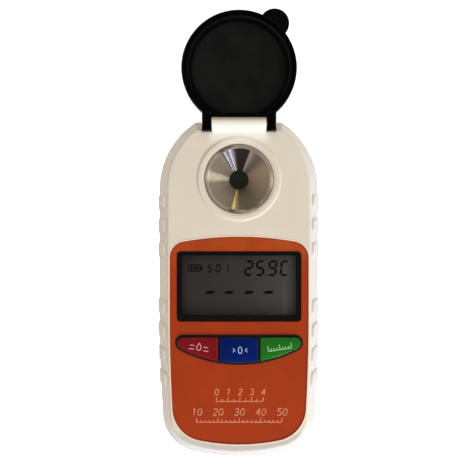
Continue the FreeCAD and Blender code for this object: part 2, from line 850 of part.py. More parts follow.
def front_shell():
    solid, hollow = case_half("front", face, d.front_lean, d.front_end_lean, d.front_head_lean,
                              ceiling, d.face_round)
    shell = cut("front_hollowed", solid, [hollow])
    boss_edge = face + d.boss_height
    crest = d.boss_radius - d.boss_slope
    boss = cone("boss", d.boss_radius, crest, d.boss_height, 0, d.dish_y, face)
    adds = [shell, boss]
    foot = loose_sketch("barrel_foot_profile", 0)
    foot.Placement = FreeCAD.Placement(FreeCAD.Vector(), FreeCAD.Rotation(0.5, 0.5, 0.5, 0.5))
    near, far = d.hinge_y - d.barrel_radius, d.hinge_y + d.barrel_radius
    inside = near - d.barrel_foot_reach
    polygon(foot, [(inside, d.barrel_foot), (d.head_end - d.barrel_foot_lean, d.barrel_foot),
                   (far, hinge_z - d.lid_below - SHARE), (far, hinge_z), (near, hinge_z),
                   (near, face), (inside, face)])
    bind(foot, "Placement.Base.x", -d.barrel_half_length)
    web = extrude("barrel_foot_block", foot, 2 * d.barrel_half_length)
    adds.append(cut("barrel_foot", web, [hollow]))
    adds.append(rod("barrel", d.barrel_radius, 2 * d.barrel_half_length, -d.barrel_half_length,
                    d.hinge_y, hinge_z, "x"))
    top = ceiling + SHARE
    for i, (x, y) in enumerate(case_posts()):
        adds.append(rod(f"front_post_{i}", d.front_post_radius, top - d.seam_height,
                        x, y, d.seam_height))
    for i, (x, y) in enumerate(board_posts()):
        adds.append(rod(f"board_boss_{i}", d.board_boss_radius, top - board_high, x, y, board_high))
    for i, (x, y) in enumerate(chamber_posts()):
        adds.append(rod(f"chamber_boss_{i}", d.chamber_lug_radius, top - collar_low, x, y, collar_low))
    whole = join("front_whole", adds)

    tools = []
    recess = label_outline(loose_sketch("recess_outline", face - d.label_recess), d.label_gap)
    tools.append(extrude("label_recess", recess, d.label_recess + OVER))
    seat = rounded_rectangle(loose_sketch("lens_seat", lens_low), lens_width + 2 * d.fit_gap,
                             d.lens_height + 2 * d.fit_gap, d.lens_corner, d.window_y)
    tools.append(extrude("lens_pocket", seat, OVER))
    opening = rounded_rectangle(loose_sketch("window_outline", ceiling - OVER),
                                lens_width - 2 * d.lens_ledge,
                                d.lens_height - 2 * d.lens_ledge, d.lens_corner, d.window_y)
    tools.append(extrude("window_hole", opening, 2 * OVER))
    keys = key_outline(loose_sketch("key_hole_outline", ceiling - OVER), d.fit_gap)
    tools.append(extrude("key_hole", keys, 3 * OVER))
    bore = d.dish_radius + d.fit_gap
    tools.append(rod("dish_bore", bore, OVER, 0, d.dish_y, dish_ledge))
    tools.append(cone("dish_bore_chamfer", bore, bore + d.boss_chamfer + OVER, d.boss_chamfer + OVER,
                      0, d.dish_y, boss_edge - d.boss_chamfer))
    ledge_radius = d.dish_radius - d.gasket_width
    tools.append(rod("dish_hole", ledge_radius, 2 * OVER, 0, d.dish_y, dish_ledge - OVER))
    bore = d.case_screw_radius + d.thread_clearance
    for i, (x, y) in enumerate(case_posts()):
        tools.append(rod(f"front_pilot_{i}", bore,
                         d.case_screw_sink + d.case_screw_length + 2 * SHARE - d.seam_height,
                         x, y, d.seam_height - SHARE))
    bore = d.board_screw_radius + d.thread_clearance
    for i, (x, y) in enumerate(board_posts()):
        tools.append(rod(f"board_pilot_{i}", bore, d.board_screw_length, x, y, board_high - SHARE))
    for i, (x, y) in enumerate(chamber_posts()):
        tools.append(rod(f"chamber_pilot_{i}", bore, d.board_screw_length, x, y, collar_low - SHARE))
    notch = d.knuckle_width + 2 * d.knuckle_side_gap
    reach = d.knuckle_radius + d.knuckle_gap
    for side, start in (("right", d.barrel_half_length), ("left", -d.barrel_half_length - notch)):
        tools.append(rod(f"{side}_notch", reach, notch, start, d.hinge_y, hinge_z, "x"))
        tools.append(block(f"{side}_notch_way", start, d.hinge_y, hinge_z - reach, notch,
                           2 * OVER, 2 * OVER))
    tools.append(rod("pin_bore", d.pin_radius + d.running_gap / 2, d.case_width, -half_width,
                     d.hinge_y, hinge_z, "x"))
    return subpart(cut("front_shell", whole, tools), "front_shell")


def door_space(name, gap):
    """The space that the battery door's panel and end take, grown by a gap."""
    half = d.door_half_width + gap
    return block(name, -half, -half_length - OVER, -OVER, 2 * half,
                 half_length + OVER - d.door_top + gap, d.door_rise + OVER + gap)


def door_rails(name, gap):
    """Two thin rails beside the battery that run just above the floor, grown by a gap."""
    low = d.floor_wall + d.fit_gap
    outer = d.door_half_width + d.door_rail + gap
    if gap:
        return block(name, -outer, -half_length - OVER, low - gap, 2 * outer,
                     half_length + OVER - d.door_top, d.door_rail_height + 2 * as_size(gap))
    end = d.battery_end - d.battery_radius
    length = end - d.door_top - d.door_rail
    inner = d.door_half_width - d.door_rail_root
    pieces = []
    for side, edge, root in (("right", inner, inner), ("left", -outer, -d.door_half_width)):
        pieces.append(block(f"{name}_{side}", edge, -end, low, outer - inner, length,
                            d.door_rail_height))
        pieces.append(block(f"{name}_{side}_root", root, -end, low - SHARE, d.door_rail_root,
                            length, 2 * SHARE))
    return join(name, pieces)


def back_shell():
    solid, hollow = case_half("back", as_size(0), d.back_lean, d.back_end_lean, d.back_end_lean,
                              d.floor_wall, d.back_round)
    hollowed = cut("back_hollowed", solid, [hollow])
    adds = [cut("back_opened", hollowed, [door_space("door_way", d.door_gap)])]
    for i, (x, y) in enumerate(case_posts()):
        adds.append(rod(f"back_post_{i}", d.case_post_radius, d.seam_height - SHARE, x, y, SHARE))
    outer = d.bay_half_width + d.bay_wall
    above_rails = d.floor_wall + d.door_rail_height + 3 * d.door_gap
    length = bay_end - bay_top
    for side, x in (("right", d.bay_half_width), ("left", -outer)):
        adds.append(block(f"bay_{side}_wall", x, -bay_end, d.floor_wall - SHARE, d.bay_wall, length,
                          bay_high - d.floor_wall + SHARE))
    adds.append(block("bay_roof_plate", -outer, -bay_end, bay_high, 2 * outer, length, d.bay_roof))
    for end, y in (("top", -bay_top - d.bay_wall), ("low", -bay_end)):
        adds.append(block(f"bay_{end}_wall", -outer, y, above_rails, 2 * outer, d.bay_wall,
                          bay_high - above_rails + SHARE))
    inner = d.battery_radius + d.bay_gap
    for i, share in enumerate((0.2, 0.8)):
        y = -bay_end + length * share
        for side, x in (("right", inner), ("left", -d.bay_half_width - SHARE)):
            adds.append(block(f"bay_rib_{side}_{i}", x, y, above_rails,
                              d.bay_half_width + SHARE - inner, d.bay_rib, bay_high - above_rails))
    whole = join("back_whole", adds)

    tools = [door_rails("rail_way", d.door_gap)]
    bore = d.case_screw_radius + d.thread_clearance
    for i, (x, y) in enumerate(case_posts()):
        tools.append(rod(f"screw_sink_{i}", d.case_screw_head + 2 * d.fit_gap,
                         d.case_screw_sink + OVER, x, y, -OVER))
        tools.append(rod(f"back_bore_{i}", bore, d.seam_height, x, y, SHARE))
    slot = d.tail_width + 2 * d.fit_gap
    for end, y in (("low", -d.battery_end - d.spring_room - d.contact_thickness - d.fit_gap),
                   ("top", d.battery_length - d.battery_end - d.fit_gap)):
        tools.append(block(f"tail_slot_{end}", -slot / 2, y, bay_high - SHARE, slot,
                           d.contact_thickness + 2 * d.fit_gap, d.bay_roof + 2 * SHARE))
    low = d.seam_height - d.seal_height
    ring = case_outline("groove_outside", low, *3 * [d.seal_inset])
    island = case_outline("groove_inside", low, *3 * [d.seal_inset + d.seal_width])
    tools.append(cut("seal_groove", extrude("groove_block", ring, d.seal_height + SHARE),
                     [extrude("groove_island", island, d.seal_height + SHARE)]))
    subpart(cut("back_shell", whole, tools), "back_shell")
    return hollowed


def case_seal():
    low, slack = d.seam_height - d.seal_height, d.fit_gap / 2
    outside = case_outline("seal_outside", low, *3 * [d.seal_inset + slack])
    inset = d.seal_inset + d.seal_width - slack
    inside = case_outline("seal_inside", low, *3 * [inset])
    ring = cut("case_seal", extrude("seal_block", outside, d.seal_height),
               [extrude("seal_hole", inside, d.seal_height)])
    subpart(ring, "case_seal")


def screw(name, radius, head_radius, head_height, length, x, y, head_top):
    """A screw that points up, with its head's underside at head_top and a crossed recess."""
    slot, depth = head_radius * 0.3, head_height * 0.6
    low = head_top - head_height
    tip = cone(name + "_tip", radius, radius * 0.3, radius, x, y, head_top + length - radius)
    solid = join(name + "_solid", [
        rod(name + "_head", head_radius, head_height, x, y, low),
        rod(name + "_shank", radius, length - radius, x, y, head_top), tip])
    reach = head_radius * 1.2
    cross = [centred_block(name + "_slot_a", x, y, low - SHARE, reach, slot, depth + SHARE),
             centred_block(name + "_slot_b", x, y, low - SHARE, slot, reach, depth + SHARE)]
    return cut(name, solid, cross)


def screws():
    case = [screw(f"case_screw_{i}", d.case_screw_radius, d.case_screw_head,
                  d.case_screw_head_height, d.case_screw_length, x, y, d.case_screw_sink)
            for i, (x, y) in enumerate(case_posts())]
    subpart(group("case_screws", case), "case_screws")
    board = [screw(f"board_screw_{i}", d.board_screw_radius, d.board_screw_head,
                   d.board_screw_head_height, d.board_screw_length, x, y, board_low)
             for i, (x, y) in enumerate(board_posts())]
    subpart(group("board_screws", board), "board_screws")
    level = collar_low - d.chamber_lug_height
    length = d.chamber_lug_height + d.chamber_screw_bite
    chamber = [screw(f"chamber_screw_{i}", d.board_screw_radius, d.board_screw_head,
                     d.board_screw_head_height, length, x, y, level)
               for i, (x, y) in enumerate(chamber_posts())]
    subpart(group("chamber_screws", chamber), "chamber_screws")


def front_label():
    label = Piece("front_label", z=face - d.label_recess)
    label.pad(label_outline(label.sketch(), 0), d.label_thickness)
    hole = rounded_rectangle(label.sketch(z=d.label_thickness), lens_width + 2 * d.fit_gap,
                             d.lens_height + 2 * d.fit_gap, d.lens_corner, d.window_y)
    label.pocket(hole, d.label_recess)
    label.pocket(key_outline(label.sketch(z=d.label_thickness), d.fit_gap), d.label_recess)


def display():
    lens = Piece("window_lens", z=lens_low)
    lens.pad(rounded_rectangle(lens.sketch(), lens_width, d.lens_height, d.lens_corner, d.window_y),
             d.lens_thickness)
    glass = Piece("lcd_glass", y=d.window_y, z=lcd_low + d.film_thickness)
    glass.pad(rectangle(glass.sketch(), lcd_width, d.lcd_height), d.lcd_thickness - d.film_thickness)
    film = Piece("lcd_reflector", y=d.window_y, z=lcd_low)
    film.pad(rectangle(film.sketch(), view_width, d.view_height), d.film_thickness)
    frame = Piece("lcd_frame", y=d.window_y, z=board_high)
    wall = 2 * (d.lcd_frame_wall + d.fit_gap)
    height = ceiling - board_high
    frame.pad(rectangle(frame.sketch(), lcd_width + wall, d.lcd_height + wall), height)
    frame.pocket(rectangle(frame.sketch(), lcd_width + 2 * d.fit_gap, d.lcd_height + 2 * d.fit_gap),
                 lcd_top - board_high, backwards=True)
    frame.pocket(rectangle(frame.sketch(z=height), view_width, d.view_height), d.lcd_frame_lip)
    for name, side in (("upper_contact_strip", 1), ("lower_contact_strip", -1)):
        y = d.window_y + side * (d.lcd_height / 2 - d.strip_inset - d.strip_width / 2)
        strip = Piece(name, y=y, z=board_high)
        strip.pad(rectangle(strip.sketch(), view_width, d.strip_width), d.strip_height)


def key_frame():
    frame = Piece("key_frame", z=frame_low)
    frame.pad(key_outline(frame.sketch(), d.key_frame_flange), d.key_frame_depth)
    height = face + d.key_frame_proud - frame_low
    frame.pad(key_outline(frame.sketch(), 0), height)
    frame.pocket(key_outline(frame.sketch(z=height), -d.key_border), height)
    reach = d.key_bottom_edge - d.key_top_edge - d.key_border * 2
    for side in (1, -1):
        web = rectangle(frame.sketch(), d.key_web, reach, side * d.key_web_x,
                        -d.key_top_edge - d.key_border - reach / 2 + 2 * d.fit_gap)
        frame.pad(web, height)


def key(name, low_x, high_x, centre_x):
    """One key cap, its lug under the case and the switch plunger that it stands on."""
    cap = Piece(name + "_key", z=key_low)
    height = key_high - key_low
    cap.pad(key_outline(cap.sketch(), -d.key_border - d.key_gap), height)
    top, bottom = OVER - d.key_top_edge, -d.key_bottom_edge - OVER
    far = half_width + OVER
    if high_x is not None:
        corners = [(high_x, bottom), (far, bottom), (far, top), (high_x, top)]
        cap.pocket(polygon(cap.sketch(z=height), corners), height)
    if low_x is not None:
        corners = [(-far, bottom), (low_x, bottom), (low_x, top), (-far, top)]
        cap.pocket(polygon(cap.sketch(z=height), corners), height)
    cap.round(d.key_round, lies_at(height))
    edge = -d.key_top_edge - d.key_border - d.key_gap
    lug = rectangle(cap.sketch(), d.key_lug_width, d.key_lug_reach + 1, centre_x,
                    edge + (d.key_lug_reach - 1) / 2)
    cap.pad(lug, d.key_lug_height)

    base = Piece(name + "_switch", centre_x, -d.key_centre_y, board_high)
    base.pad(rectangle(base.sketch(), d.switch_width, d.switch_width), d.switch_height)
    base.pocket(disc(base.sketch(z=d.switch_height), d.plunger_radius + d.running_gap),
                d.switch_bore_depth)
    rest = d.switch_height - d.switch_bore_depth + d.key_travel + d.running_gap
    plunger = Piece(name + "_plunger", centre_x, -d.key_centre_y, board_high + rest)
    plunger.pad(disc(plunger.sketch(), d.plunger_radius), key_low - board_high - rest)


def keys():
    inner = d.key_web_x - d.key_web / 2 - d.key_gap
    outer = d.key_web_x + d.key_web / 2 + d.key_gap
    key("read", None, -outer, -key_centre_x)
    key("zero", -inner, inner, as_size(0))
    key("scale", outer, None, key_centre_x)


def sample_dish():
    dish = Piece("sample_dish", y=d.dish_y, z=collar_low)
    foot = prism_high - collar_low
    rim = foot + d.dish_depth
    lip = rim - d.dish_lip_drop
    flange = rim - d.dish_flange
    slope = (lip - foot) / (d.dish_lip_radius - d.prism_radius)
    collar_top = foot + (d.collar_radius - d.prism_radius) * slope - d.dish_shell
    profile = [(d.collar_bore, 0), (d.collar_radius, 0), (d.collar_radius, collar_top),
               (d.dish_lip_radius, flange), (d.dish_radius, flange),
               (d.dish_radius, lip), (d.dish_radius - d.dish_lip_drop, rim),
               (d.dish_lip_radius + d.dish_lip_drop, rim), (d.dish_lip_radius, lip),
               (d.prism_radius, foot), (d.prism_radius, d.collar_depth),
               (d.collar_bore, d.collar_depth)]
    dish.turned(polygon(dish.sketch("XZ"), profile))

    gasket = Piece("dish_gasket", y=d.dish_y, z=dish_ledge)
    sketch = disc(gasket.sketch(), d.dish_radius)
    gasket.pad(disc(sketch, d.dish_radius - d.gasket_width), d.gasket_height)

    prism = Piece("prism", y=d.dish_y, z=prism_high - d.prism_disc - d.prism_block_height)
    low, high = d.prism_block_foot / 2, d.prism_block_width / 2
    shape = polygon(prism.sketch("XZ", z=-d.prism_block_depth / 2),
                    [(-low, 0), (low, 0), (high, d.prism_block_height), (-high, d.prism_block_height)])
    prism.pad(shape, d.prism_block_depth)
    prism.pad(disc(prism.sketch(z=d.prism_block_height), d.prism_radius - d.running_gap / 2),
              d.prism_disc)


def optics():
    height = collar_low - d.chamber_low
    optic_z = d.optic_height - d.chamber_low
    half = d.chamber_width / 2
    chamber = Piece("optics_chamber", y=d.dish_y, z=d.chamber_low)
    chamber.pad(rectangle(chamber.sketch(), d.chamber_width, d.chamber_length), height)
    wall = 2 * d.chamber_wall
    chamber.pocket(rectangle(chamber.sketch(), d.chamber_width - wall, d.chamber_length - wall),
                   height - d.chamber_wall, backwards=True)
    gap = 2 * d.fit_gap
    for side in (1, -1):
        for y in (-d.chamber_lug_y, d.chamber_lug_other):
            x = side * d.chamber_lug_x
            level = height - d.chamber_lug_height
            chamber.pad(disc(chamber.sketch(z=level), d.chamber_lug_radius, x, y), d.chamber_lug_height)
            arm = rectangle(chamber.sketch(z=level), d.chamber_lug_x - half + SHARE,
                            d.chamber_lug_radius * 2, side * (d.chamber_lug_x + half - SHARE) / 2, y)
            chamber.pad(arm, d.chamber_lug_height)
            hole = disc(chamber.sketch(z=height), d.board_screw_radius + d.thread_clearance, x, y)
            chamber.pocket(hole, d.chamber_lug_height)
    holder = rectangle(chamber.sketch(), d.lens_holder, d.chamber_length - wall + SHARE,
                       -d.lens_holder_x)
    chamber.pad(holder, height - d.chamber_wall + SHARE)
    chamber.pocket(rectangle(chamber.sketch(z=height), d.prism_block_width + gap,
                             d.prism_block_depth + gap), d.chamber_wall)
    lens_hole = disc(chamber.sketch("YZ", z=(d.lens_holder + SHARE) / 2 - d.lens_holder_x),
                     d.light_lens_radius + d.running_gap, 0, optic_z)
    chamber.pocket(lens_hole, d.lens_holder + SHARE)
    lamp_hole = disc(chamber.sketch("YZ", z=d.chamber_wall - half), d.lamp_flange_radius + d.running_gap,
                     0, optic_z)
    chamber.pocket(lamp_hole, d.chamber_wall)
    window = rectangle(chamber.sketch("YZ", z=half), d.sensor_length + gap, d.sensor_height + gap,
                       0, optic_z)
    chamber.pocket(window, d.chamber_wall)

    cover = Piece("chamber_cover", y=d.dish_y, z=d.chamber_low - d.chamber_cover)
    cover.pad(rectangle(cover.sketch(), d.chamber_width, d.chamber_length), d.chamber_cover)

    lamp = join("led_lamp", [
        rod("lamp_rim", d.lamp_flange_radius, d.lamp_flange, -half, d.dish_y, d.optic_height, "x"),
        rod("lamp_body", d.lamp_radius, d.lamp_length - d.lamp_radius, -half, d.dish_y,
            d.optic_height, "x"),
        ball("lamp_dome", d.lamp_radius, d.lamp_length - d.lamp_radius - half, d.dish_y,
             d.optic_height)])
    subpart(lamp, "led_lamp")
    subpart(block("led_board", -half - d.small_board, d.dish_y - d.lamp_board_length / 2,
                  d.optic_height - d.lamp_board_height / 2, d.small_board, d.lamp_board_length,
                  d.lamp_board_height), "led_board")
    inner_x = d.lens_holder / 2 - d.lens_holder_x
    lens = common("light_lens", rod("lens_rod", d.light_lens_radius, 2 * d.lens_holder,
                                    inner_x - d.lens_holder, d.dish_y, d.optic_height, "x"),
                  ball("lens_ball", d.light_lens_curve,
                       inner_x + d.lens_holder - d.light_lens_curve, d.dish_y, d.optic_height))
    subpart(lens, "light_lens")
    subpart(block("image_sensor", half - d.chamber_wall, d.dish_y - d.sensor_length / 2,
                  d.optic_height - d.sensor_height / 2, d.chamber_wall, d.sensor_length,
                  d.sensor_height), "image_sensor")
    subpart(block("sensor_board", half, d.dish_y - d.sensor_board_length / 2,
                  d.optic_height - d.sensor_board_height / 2, d.small_board, d.sensor_board_length,
                  d.sensor_board_height), "sensor_board")


def wiring():
    """Flat ribbons from both optics boards to sockets under the main board, and the thermistor."""
    outside = d.chamber_width / 2 + d.small_board
    start = d.socket_y + d.socket_length / 2
    for name, side in (("sensor", 1), ("led", -1)):
        end = d.dish_y - d.ribbon_reach + (2 * d.ribbon_reach if side > 0 else d.ribbon_reach)
        low_x = outside if side > 0 else -outside - d.ribbon_thickness
        subpart(block(name + "_ribbon", low_x, start, d.ribbon_low, d.ribbon_thickness, end - start,
                      d.ribbon_width), name + "_ribbon")
        centre = side * (outside + d.ribbon_thickness / 2)
        subpart(block(name + "_socket", centre - d.socket_width / 2,
                      d.socket_y - d.socket_length / 2, d.ribbon_low + d.ribbon_width / 2,
                      d.socket_width, d.socket_length,
                      board_low - d.ribbon_low - d.ribbon_width / 2), name + "_socket")
    face = d.dish_y - d.collar_radius
    bead = block("bead", -d.bead_width / 2, face - d.bead_depth, collar_low, d.bead_width,
                 d.bead_depth, d.bead_depth)
    leads = [rod(f"lead_{i}", d.lead_radius, face - d.board_top + d.lead_overlap - d.bead_depth / 2,
                 side * d.lead_gap / 2, d.board_top - d.lead_overlap, board_high + d.lead_radius, "y")
             for i, side in enumerate((1, -1))]
    subpart(join("temperature_sensor", [bead] + leads), "temperature_sensor")


def main_board():
    length = d.board_top + d.board_end
    middle = (d.board_top - d.board_end) / 2
    board = Piece("main_board", z=board_low)
    board.pad(rounded_rectangle(board.sketch(), board_width, length, d.board_corner, middle),
              d.board_thickness)
    for x, y in board_posts():
        hole = disc(board.sketch(z=d.board_thickness), d.board_screw_radius + d.thread_clearance, x, y)
        board.pocket(hole, d.board_thickness)
    chip = Piece("controller_chip", y=d.chip_y, z=board_high)
    chip.pad(rectangle(chip.sketch(), d.chip_width, d.chip_width), d.chip_height)
    crystal = Piece("clock_crystal", d.crystal_x, d.component_y, board_high)
    crystal.pad(rectangle(crystal.sketch(), d.crystal_width, d.crystal_depth), d.crystal_depth)
    cans = [rod(f"capacitor_{i}", d.capacitor_radius, d.capacitor_height, -i * d.capacitor_x,
                d.component_y, board_high) for i in (1, 2)]
    subpart(group("capacitors", cans), "capacitors")


def battery():
    cell = Piece("battery", y=-d.battery_end, z=battery_z)
    shoulder = d.battery_length - d.battery_nub
    chamfer = d.battery_round
    profile = [(0, 0), (d.battery_radius - chamfer, 0), (d.battery_radius, chamfer),
               (d.battery_radius, shoulder - chamfer), (d.battery_radius - chamfer, shoulder),
               (d.battery_nub_radius, shoulder), (d.battery_nub_radius, d.battery_length),
               (0, d.battery_length)]
    cell.turned(polygon(cell.sketch("XY"), profile))


def contacts():
    """A coil spring on its plate at the flat end, a sprung plate at the other, both with tails."""
    low = battery_z - d.contact_height / 2
    tail_low = low + d.contact_height - SHARE
    tail_height = board_low - tail_low
    plate_y = -d.battery_end - d.spring_room - d.contact_thickness
    helix = doc.addObject("Part::Helix", "spring_path")
    bind(helix, "Radius", d.spring_radius)
    bind(helix, "Height", d.spring_room - 2 * d.spring_wire)
    bind(helix, "Pitch", (d.spring_room - 2 * d.spring_wire) / d.spring_turns)
    start = plate_y + d.contact_thickness + 0.8 * d.spring_wire
    place(helix, 0, start, battery_z, "y")
    wire = loose_sketch("spring_section", battery_z)
    disc(wire, d.spring_wire)
    place(wire, d.spring_radius, start, battery_z)
    coil = doc.addObject("Part::Sweep", "spring_coil")
    coil.Sections = [wire]
    coil.Spine = helix
    coil.Solid = True
    coil.Frenet = True
    plate = centred_block("spring_plate", 0, plate_y + d.contact_thickness / 2, low,
                          d.contact_width, d.contact_thickness, d.contact_height)
    tail = centred_block("spring_tail", 0, plate_y + d.contact_thickness / 2, tail_low,
                         d.tail_width, d.contact_thickness, tail_height)
    roof = bay_high + d.bay_roof
    strap = block("spring_strap", -d.tail_width / 2, plate_y, roof, d.tail_width,
                  d.strap_overlap - d.board_end - plate_y, board_low - roof)
    seat = rod("spring_seat", d.spring_radius + 2 * d.spring_wire, d.spring_wire, 0,
               plate_y + d.contact_thickness, battery_z, "y")
    subpart(join("battery_spring", [plate, tail, strap, seat, coil]), "battery_spring")
    top_y = d.battery_length - d.battery_end
    plate = centred_block("plus_plate", 0, top_y + d.contact_thickness / 2, low, d.contact_width,
                          d.contact_thickness, d.contact_height)
    tail = centred_block("plus_tail", 0, top_y + d.contact_thickness / 2, tail_low, d.tail_width,
                         d.contact_thickness, tail_height)
    subpart(join("battery_plate", [plate, tail]), "battery_plate")


def battery_door(hollowed):
    panel = common("door_panel", hollowed, door_space("door_block", 0))
    body = join("door_body", [panel, door_rails("door_rail_block", 0)])
    tools = [block("door_sole", -half_width, -half_length - OVER, -OVER, d.case_width,
                   d.case_length, d.door_recess + OVER)]
    for i in range(5):
        y = -d.thumb_groove_y - i * d.thumb_groove_pitch
        tools.append(centred_block(f"thumb_groove_{i}", 0, y, -OVER, d.door_half_width * 1.3,
                                   d.thumb_groove, OVER + d.door_recess + d.thumb_groove_depth))
    subpart(cut("battery_door", body, tools), "battery_door")
    foam = centred_block("door_foam", 0, -d.battery_end + d.battery_length / 2, d.floor_wall,
                         2 * d.foam_half_width, d.battery_length * 0.6, d.foam_height)
    subpart(foam, "door_foam")


def hinge_pin():
    reach = d.barrel_half_length + d.knuckle_side_gap + d.knuckle_width
    subpart(rod("hinge_pin", d.pin_radius, 2 * reach, -reach, d.hinge_y, hinge_z, "x"), "hinge_pin")


def lid():
    """The round cap, drawn open: its outside faces down and its sealing walls stand up."""
    cap = Piece("lid", y=d.hinge_y, z=hinge_z)
    groove_z = d.lid_above - d.lid_groove_depth
    inside_rim = d.lid_radius - d.lid_rim
    wall_outside = inside_rim - d.lid_groove
    wall_inside = wall_outside - d.lid_wall
    cap.pad(cut_disc(cap.sketch(z=-d.lid_below), d.lid_radius, d.lid_chord), d.lid_below + groove_z)
    cap.round(d.lid_round, lies_at(-d.lid_below, d.lid_radius))
    start = d.barrel_half_length + d.knuckle_side_gap
    for x in (start, -start - d.knuckle_width):
        cap.pad(disc(cap.sketch("YZ", z=x), d.knuckle_radius), d.knuckle_width)
        arm = [(0, -d.knuckle_radius), (d.lid_chord + 2 * d.lid_rim + SHARE, -d.knuckle_radius),
               (d.lid_chord + 2 * d.lid_rim + SHARE, d.lid_above), (0, d.lid_above)]
        cap.pad(polygon(cap.sketch("YZ", z=x), arm), d.knuckle_width)
    rim = cut_disc(cap.sketch(z=groove_z), d.lid_radius, d.lid_chord)
    cap.pad(cut_disc(rim, inside_rim, d.lid_chord + d.lid_rim), d.lid_groove_depth)
    wall = cut_disc(cap.sketch(z=groove_z), wall_outside, d.lid_chord + d.lid_rim / 2)
    cap.pad(cut_disc(wall, wall_inside, d.lid_inner_chord), d.lid_groove_depth - d.lid_wall_drop)
    tab = disc(cap.sketch(z=-d.tab_low), d.tab_radius, d.tab_x, d.lid_reach + d.tab_y)
    cap.pad(tab, d.tab_thickness)
    cap.pocket(cut_disc(cap.sketch(z=d.lid_above), wall_inside, d.lid_inner_chord),
               d.lid_above + d.lid_below - d.lid_plate)
    bore = disc(cap.sketch("YZ", z=half_width), d.pin_radius + d.running_gap)
    cap.pocket(bore, d.case_width)


front_shell()
door_source = back_shell()
case_seal()
screws()
front_label()
display()
key_frame()
keys()
sample_dish()
optics()
wiring()
main_board()
battery()
contacts()
battery_door(door_source)
hinge_pin()
lid()
doc.recompute()

for thing in doc.Objects:
    if "Invalid" in thing.State or "Error" in thing.State:
        raise RuntimeError(f"{thing.Name} failed: {thing.State}")
for thing in subparts:
    if thing.Shape.isNull() or not thing.Shape.isValid():
        raise RuntimeError(f"{thing.Label} has no valid shape")
for thing in subparts:
    thing.Shape.exportStep(f"parts/{thing.Label}.step")
    print(thing.Label, len(thing.Shape.Solids), round(thing.Shape.Volume, 1))
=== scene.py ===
import math

import bmesh
import bpy
from mathutils import Matrix, Vector
from mathutils.bvhtree import BVHTree


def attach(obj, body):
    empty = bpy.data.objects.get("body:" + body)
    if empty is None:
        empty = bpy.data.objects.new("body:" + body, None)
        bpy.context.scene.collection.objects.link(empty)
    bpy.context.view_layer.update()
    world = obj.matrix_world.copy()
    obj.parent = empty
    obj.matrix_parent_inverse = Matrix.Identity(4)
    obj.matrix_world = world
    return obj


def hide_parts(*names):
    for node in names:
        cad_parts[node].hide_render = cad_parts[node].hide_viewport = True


# Looks of a handheld clinical refractometer that lies on its back with its sample lid folded open.
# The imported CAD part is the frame. Lengths written here are millimetres in its frame unless a
# name says otherwise, and MM turns them into Blender's metres.

MM = 0.001

# Camera, straight above the instrument
CAMERA_X, CAMERA_Y, CAMERA_HEIGHT = -2.1, 20.0, 241.0
FOCAL_PIXELS, FRAME_PIXELS = 635.2, 466.0

# Places taken over from the source of the solids
FACE, FILM, SEAM = 21.0, 20.75, 10.0
DISH_Y, DISH_THROAT, FLANGE_RADIUS, FLANGE_TOP = 38.7, 10.6, 11.88, 21.67
KEY_TOP, KEY_BOTTOM, KEY_ARC, KEY_END = -15.4, -25.6, 44.03, 2.7
KEY_INSET, KEY_LOW, KEY_HIGH = 0.72, 17.3, 21.9
KEY_WEB, SIDE_KEY_X, SIDE_KEY_Y = 7.32, 13.4, -19.2
GLASS_TOP = 18.2
VIEW_Y, VIEW_HALF_WIDTH, VIEW_HALF_HEIGHT = 1.75, 19.9, 10.45
HINGE_Y, HINGE_Z, KNUCKLE_RADIUS = 57.5, 22.0, 2.3
LID_Y, LID_RADIUS, LID_CUT_Y = 76.9, 19.9, 60.0
RIM_INNER, WALL_OUTER, WALL_INNER, LID_FLOOR = 19.2, 17.9, 16.2, 20.3
TAB_X, TAB_Y, TAB_RADIUS = 12.2, 92.3, 5.08
GRIPS = (31.1, 22.6, 14.1, -6.2, -14.7, -23.2, -31.7)
GRIP_WIDTH, FRONT_GRIP_END, BACK_GRIP_END = 4.9, 18.95, 2.95


# Shader sums written as Python sums

class Wire:
    """A node's output that adds Math nodes when it is used in a sum."""

    def __init__(self, tree, socket):
        self.tree = tree
        self.socket = socket

    def math(self, operation, *others, first=None):
        values = [self] if first is None else [first, self]
        return self.tree.node("ShaderNodeMath", {"operation": operation}, *values, *others)

    def __add__(self, other):
        return self.math("ADD", other)

    __radd__ = __add__

    def __sub__(self, other):
        return self.math("SUBTRACT", other)

    def __rsub__(self, other):
        return self.math("SUBTRACT", first=other)

    def __mul__(self, other):
        return self.math("MULTIPLY", other)

    __rmul__ = __mul__

    def __truediv__(self, other):
        return self.math("DIVIDE", other)

    def __pow__(self, other):
        return self.math("POWER", other)

    def smooth(self, low, high):
        """0 below low, 1 above high and a soft step between them."""
        return self.tree.node("ShaderNodeMapRange", {"interpolation_type": "SMOOTHSTEP"},
                              self, low, high, 0.0, 1.0)


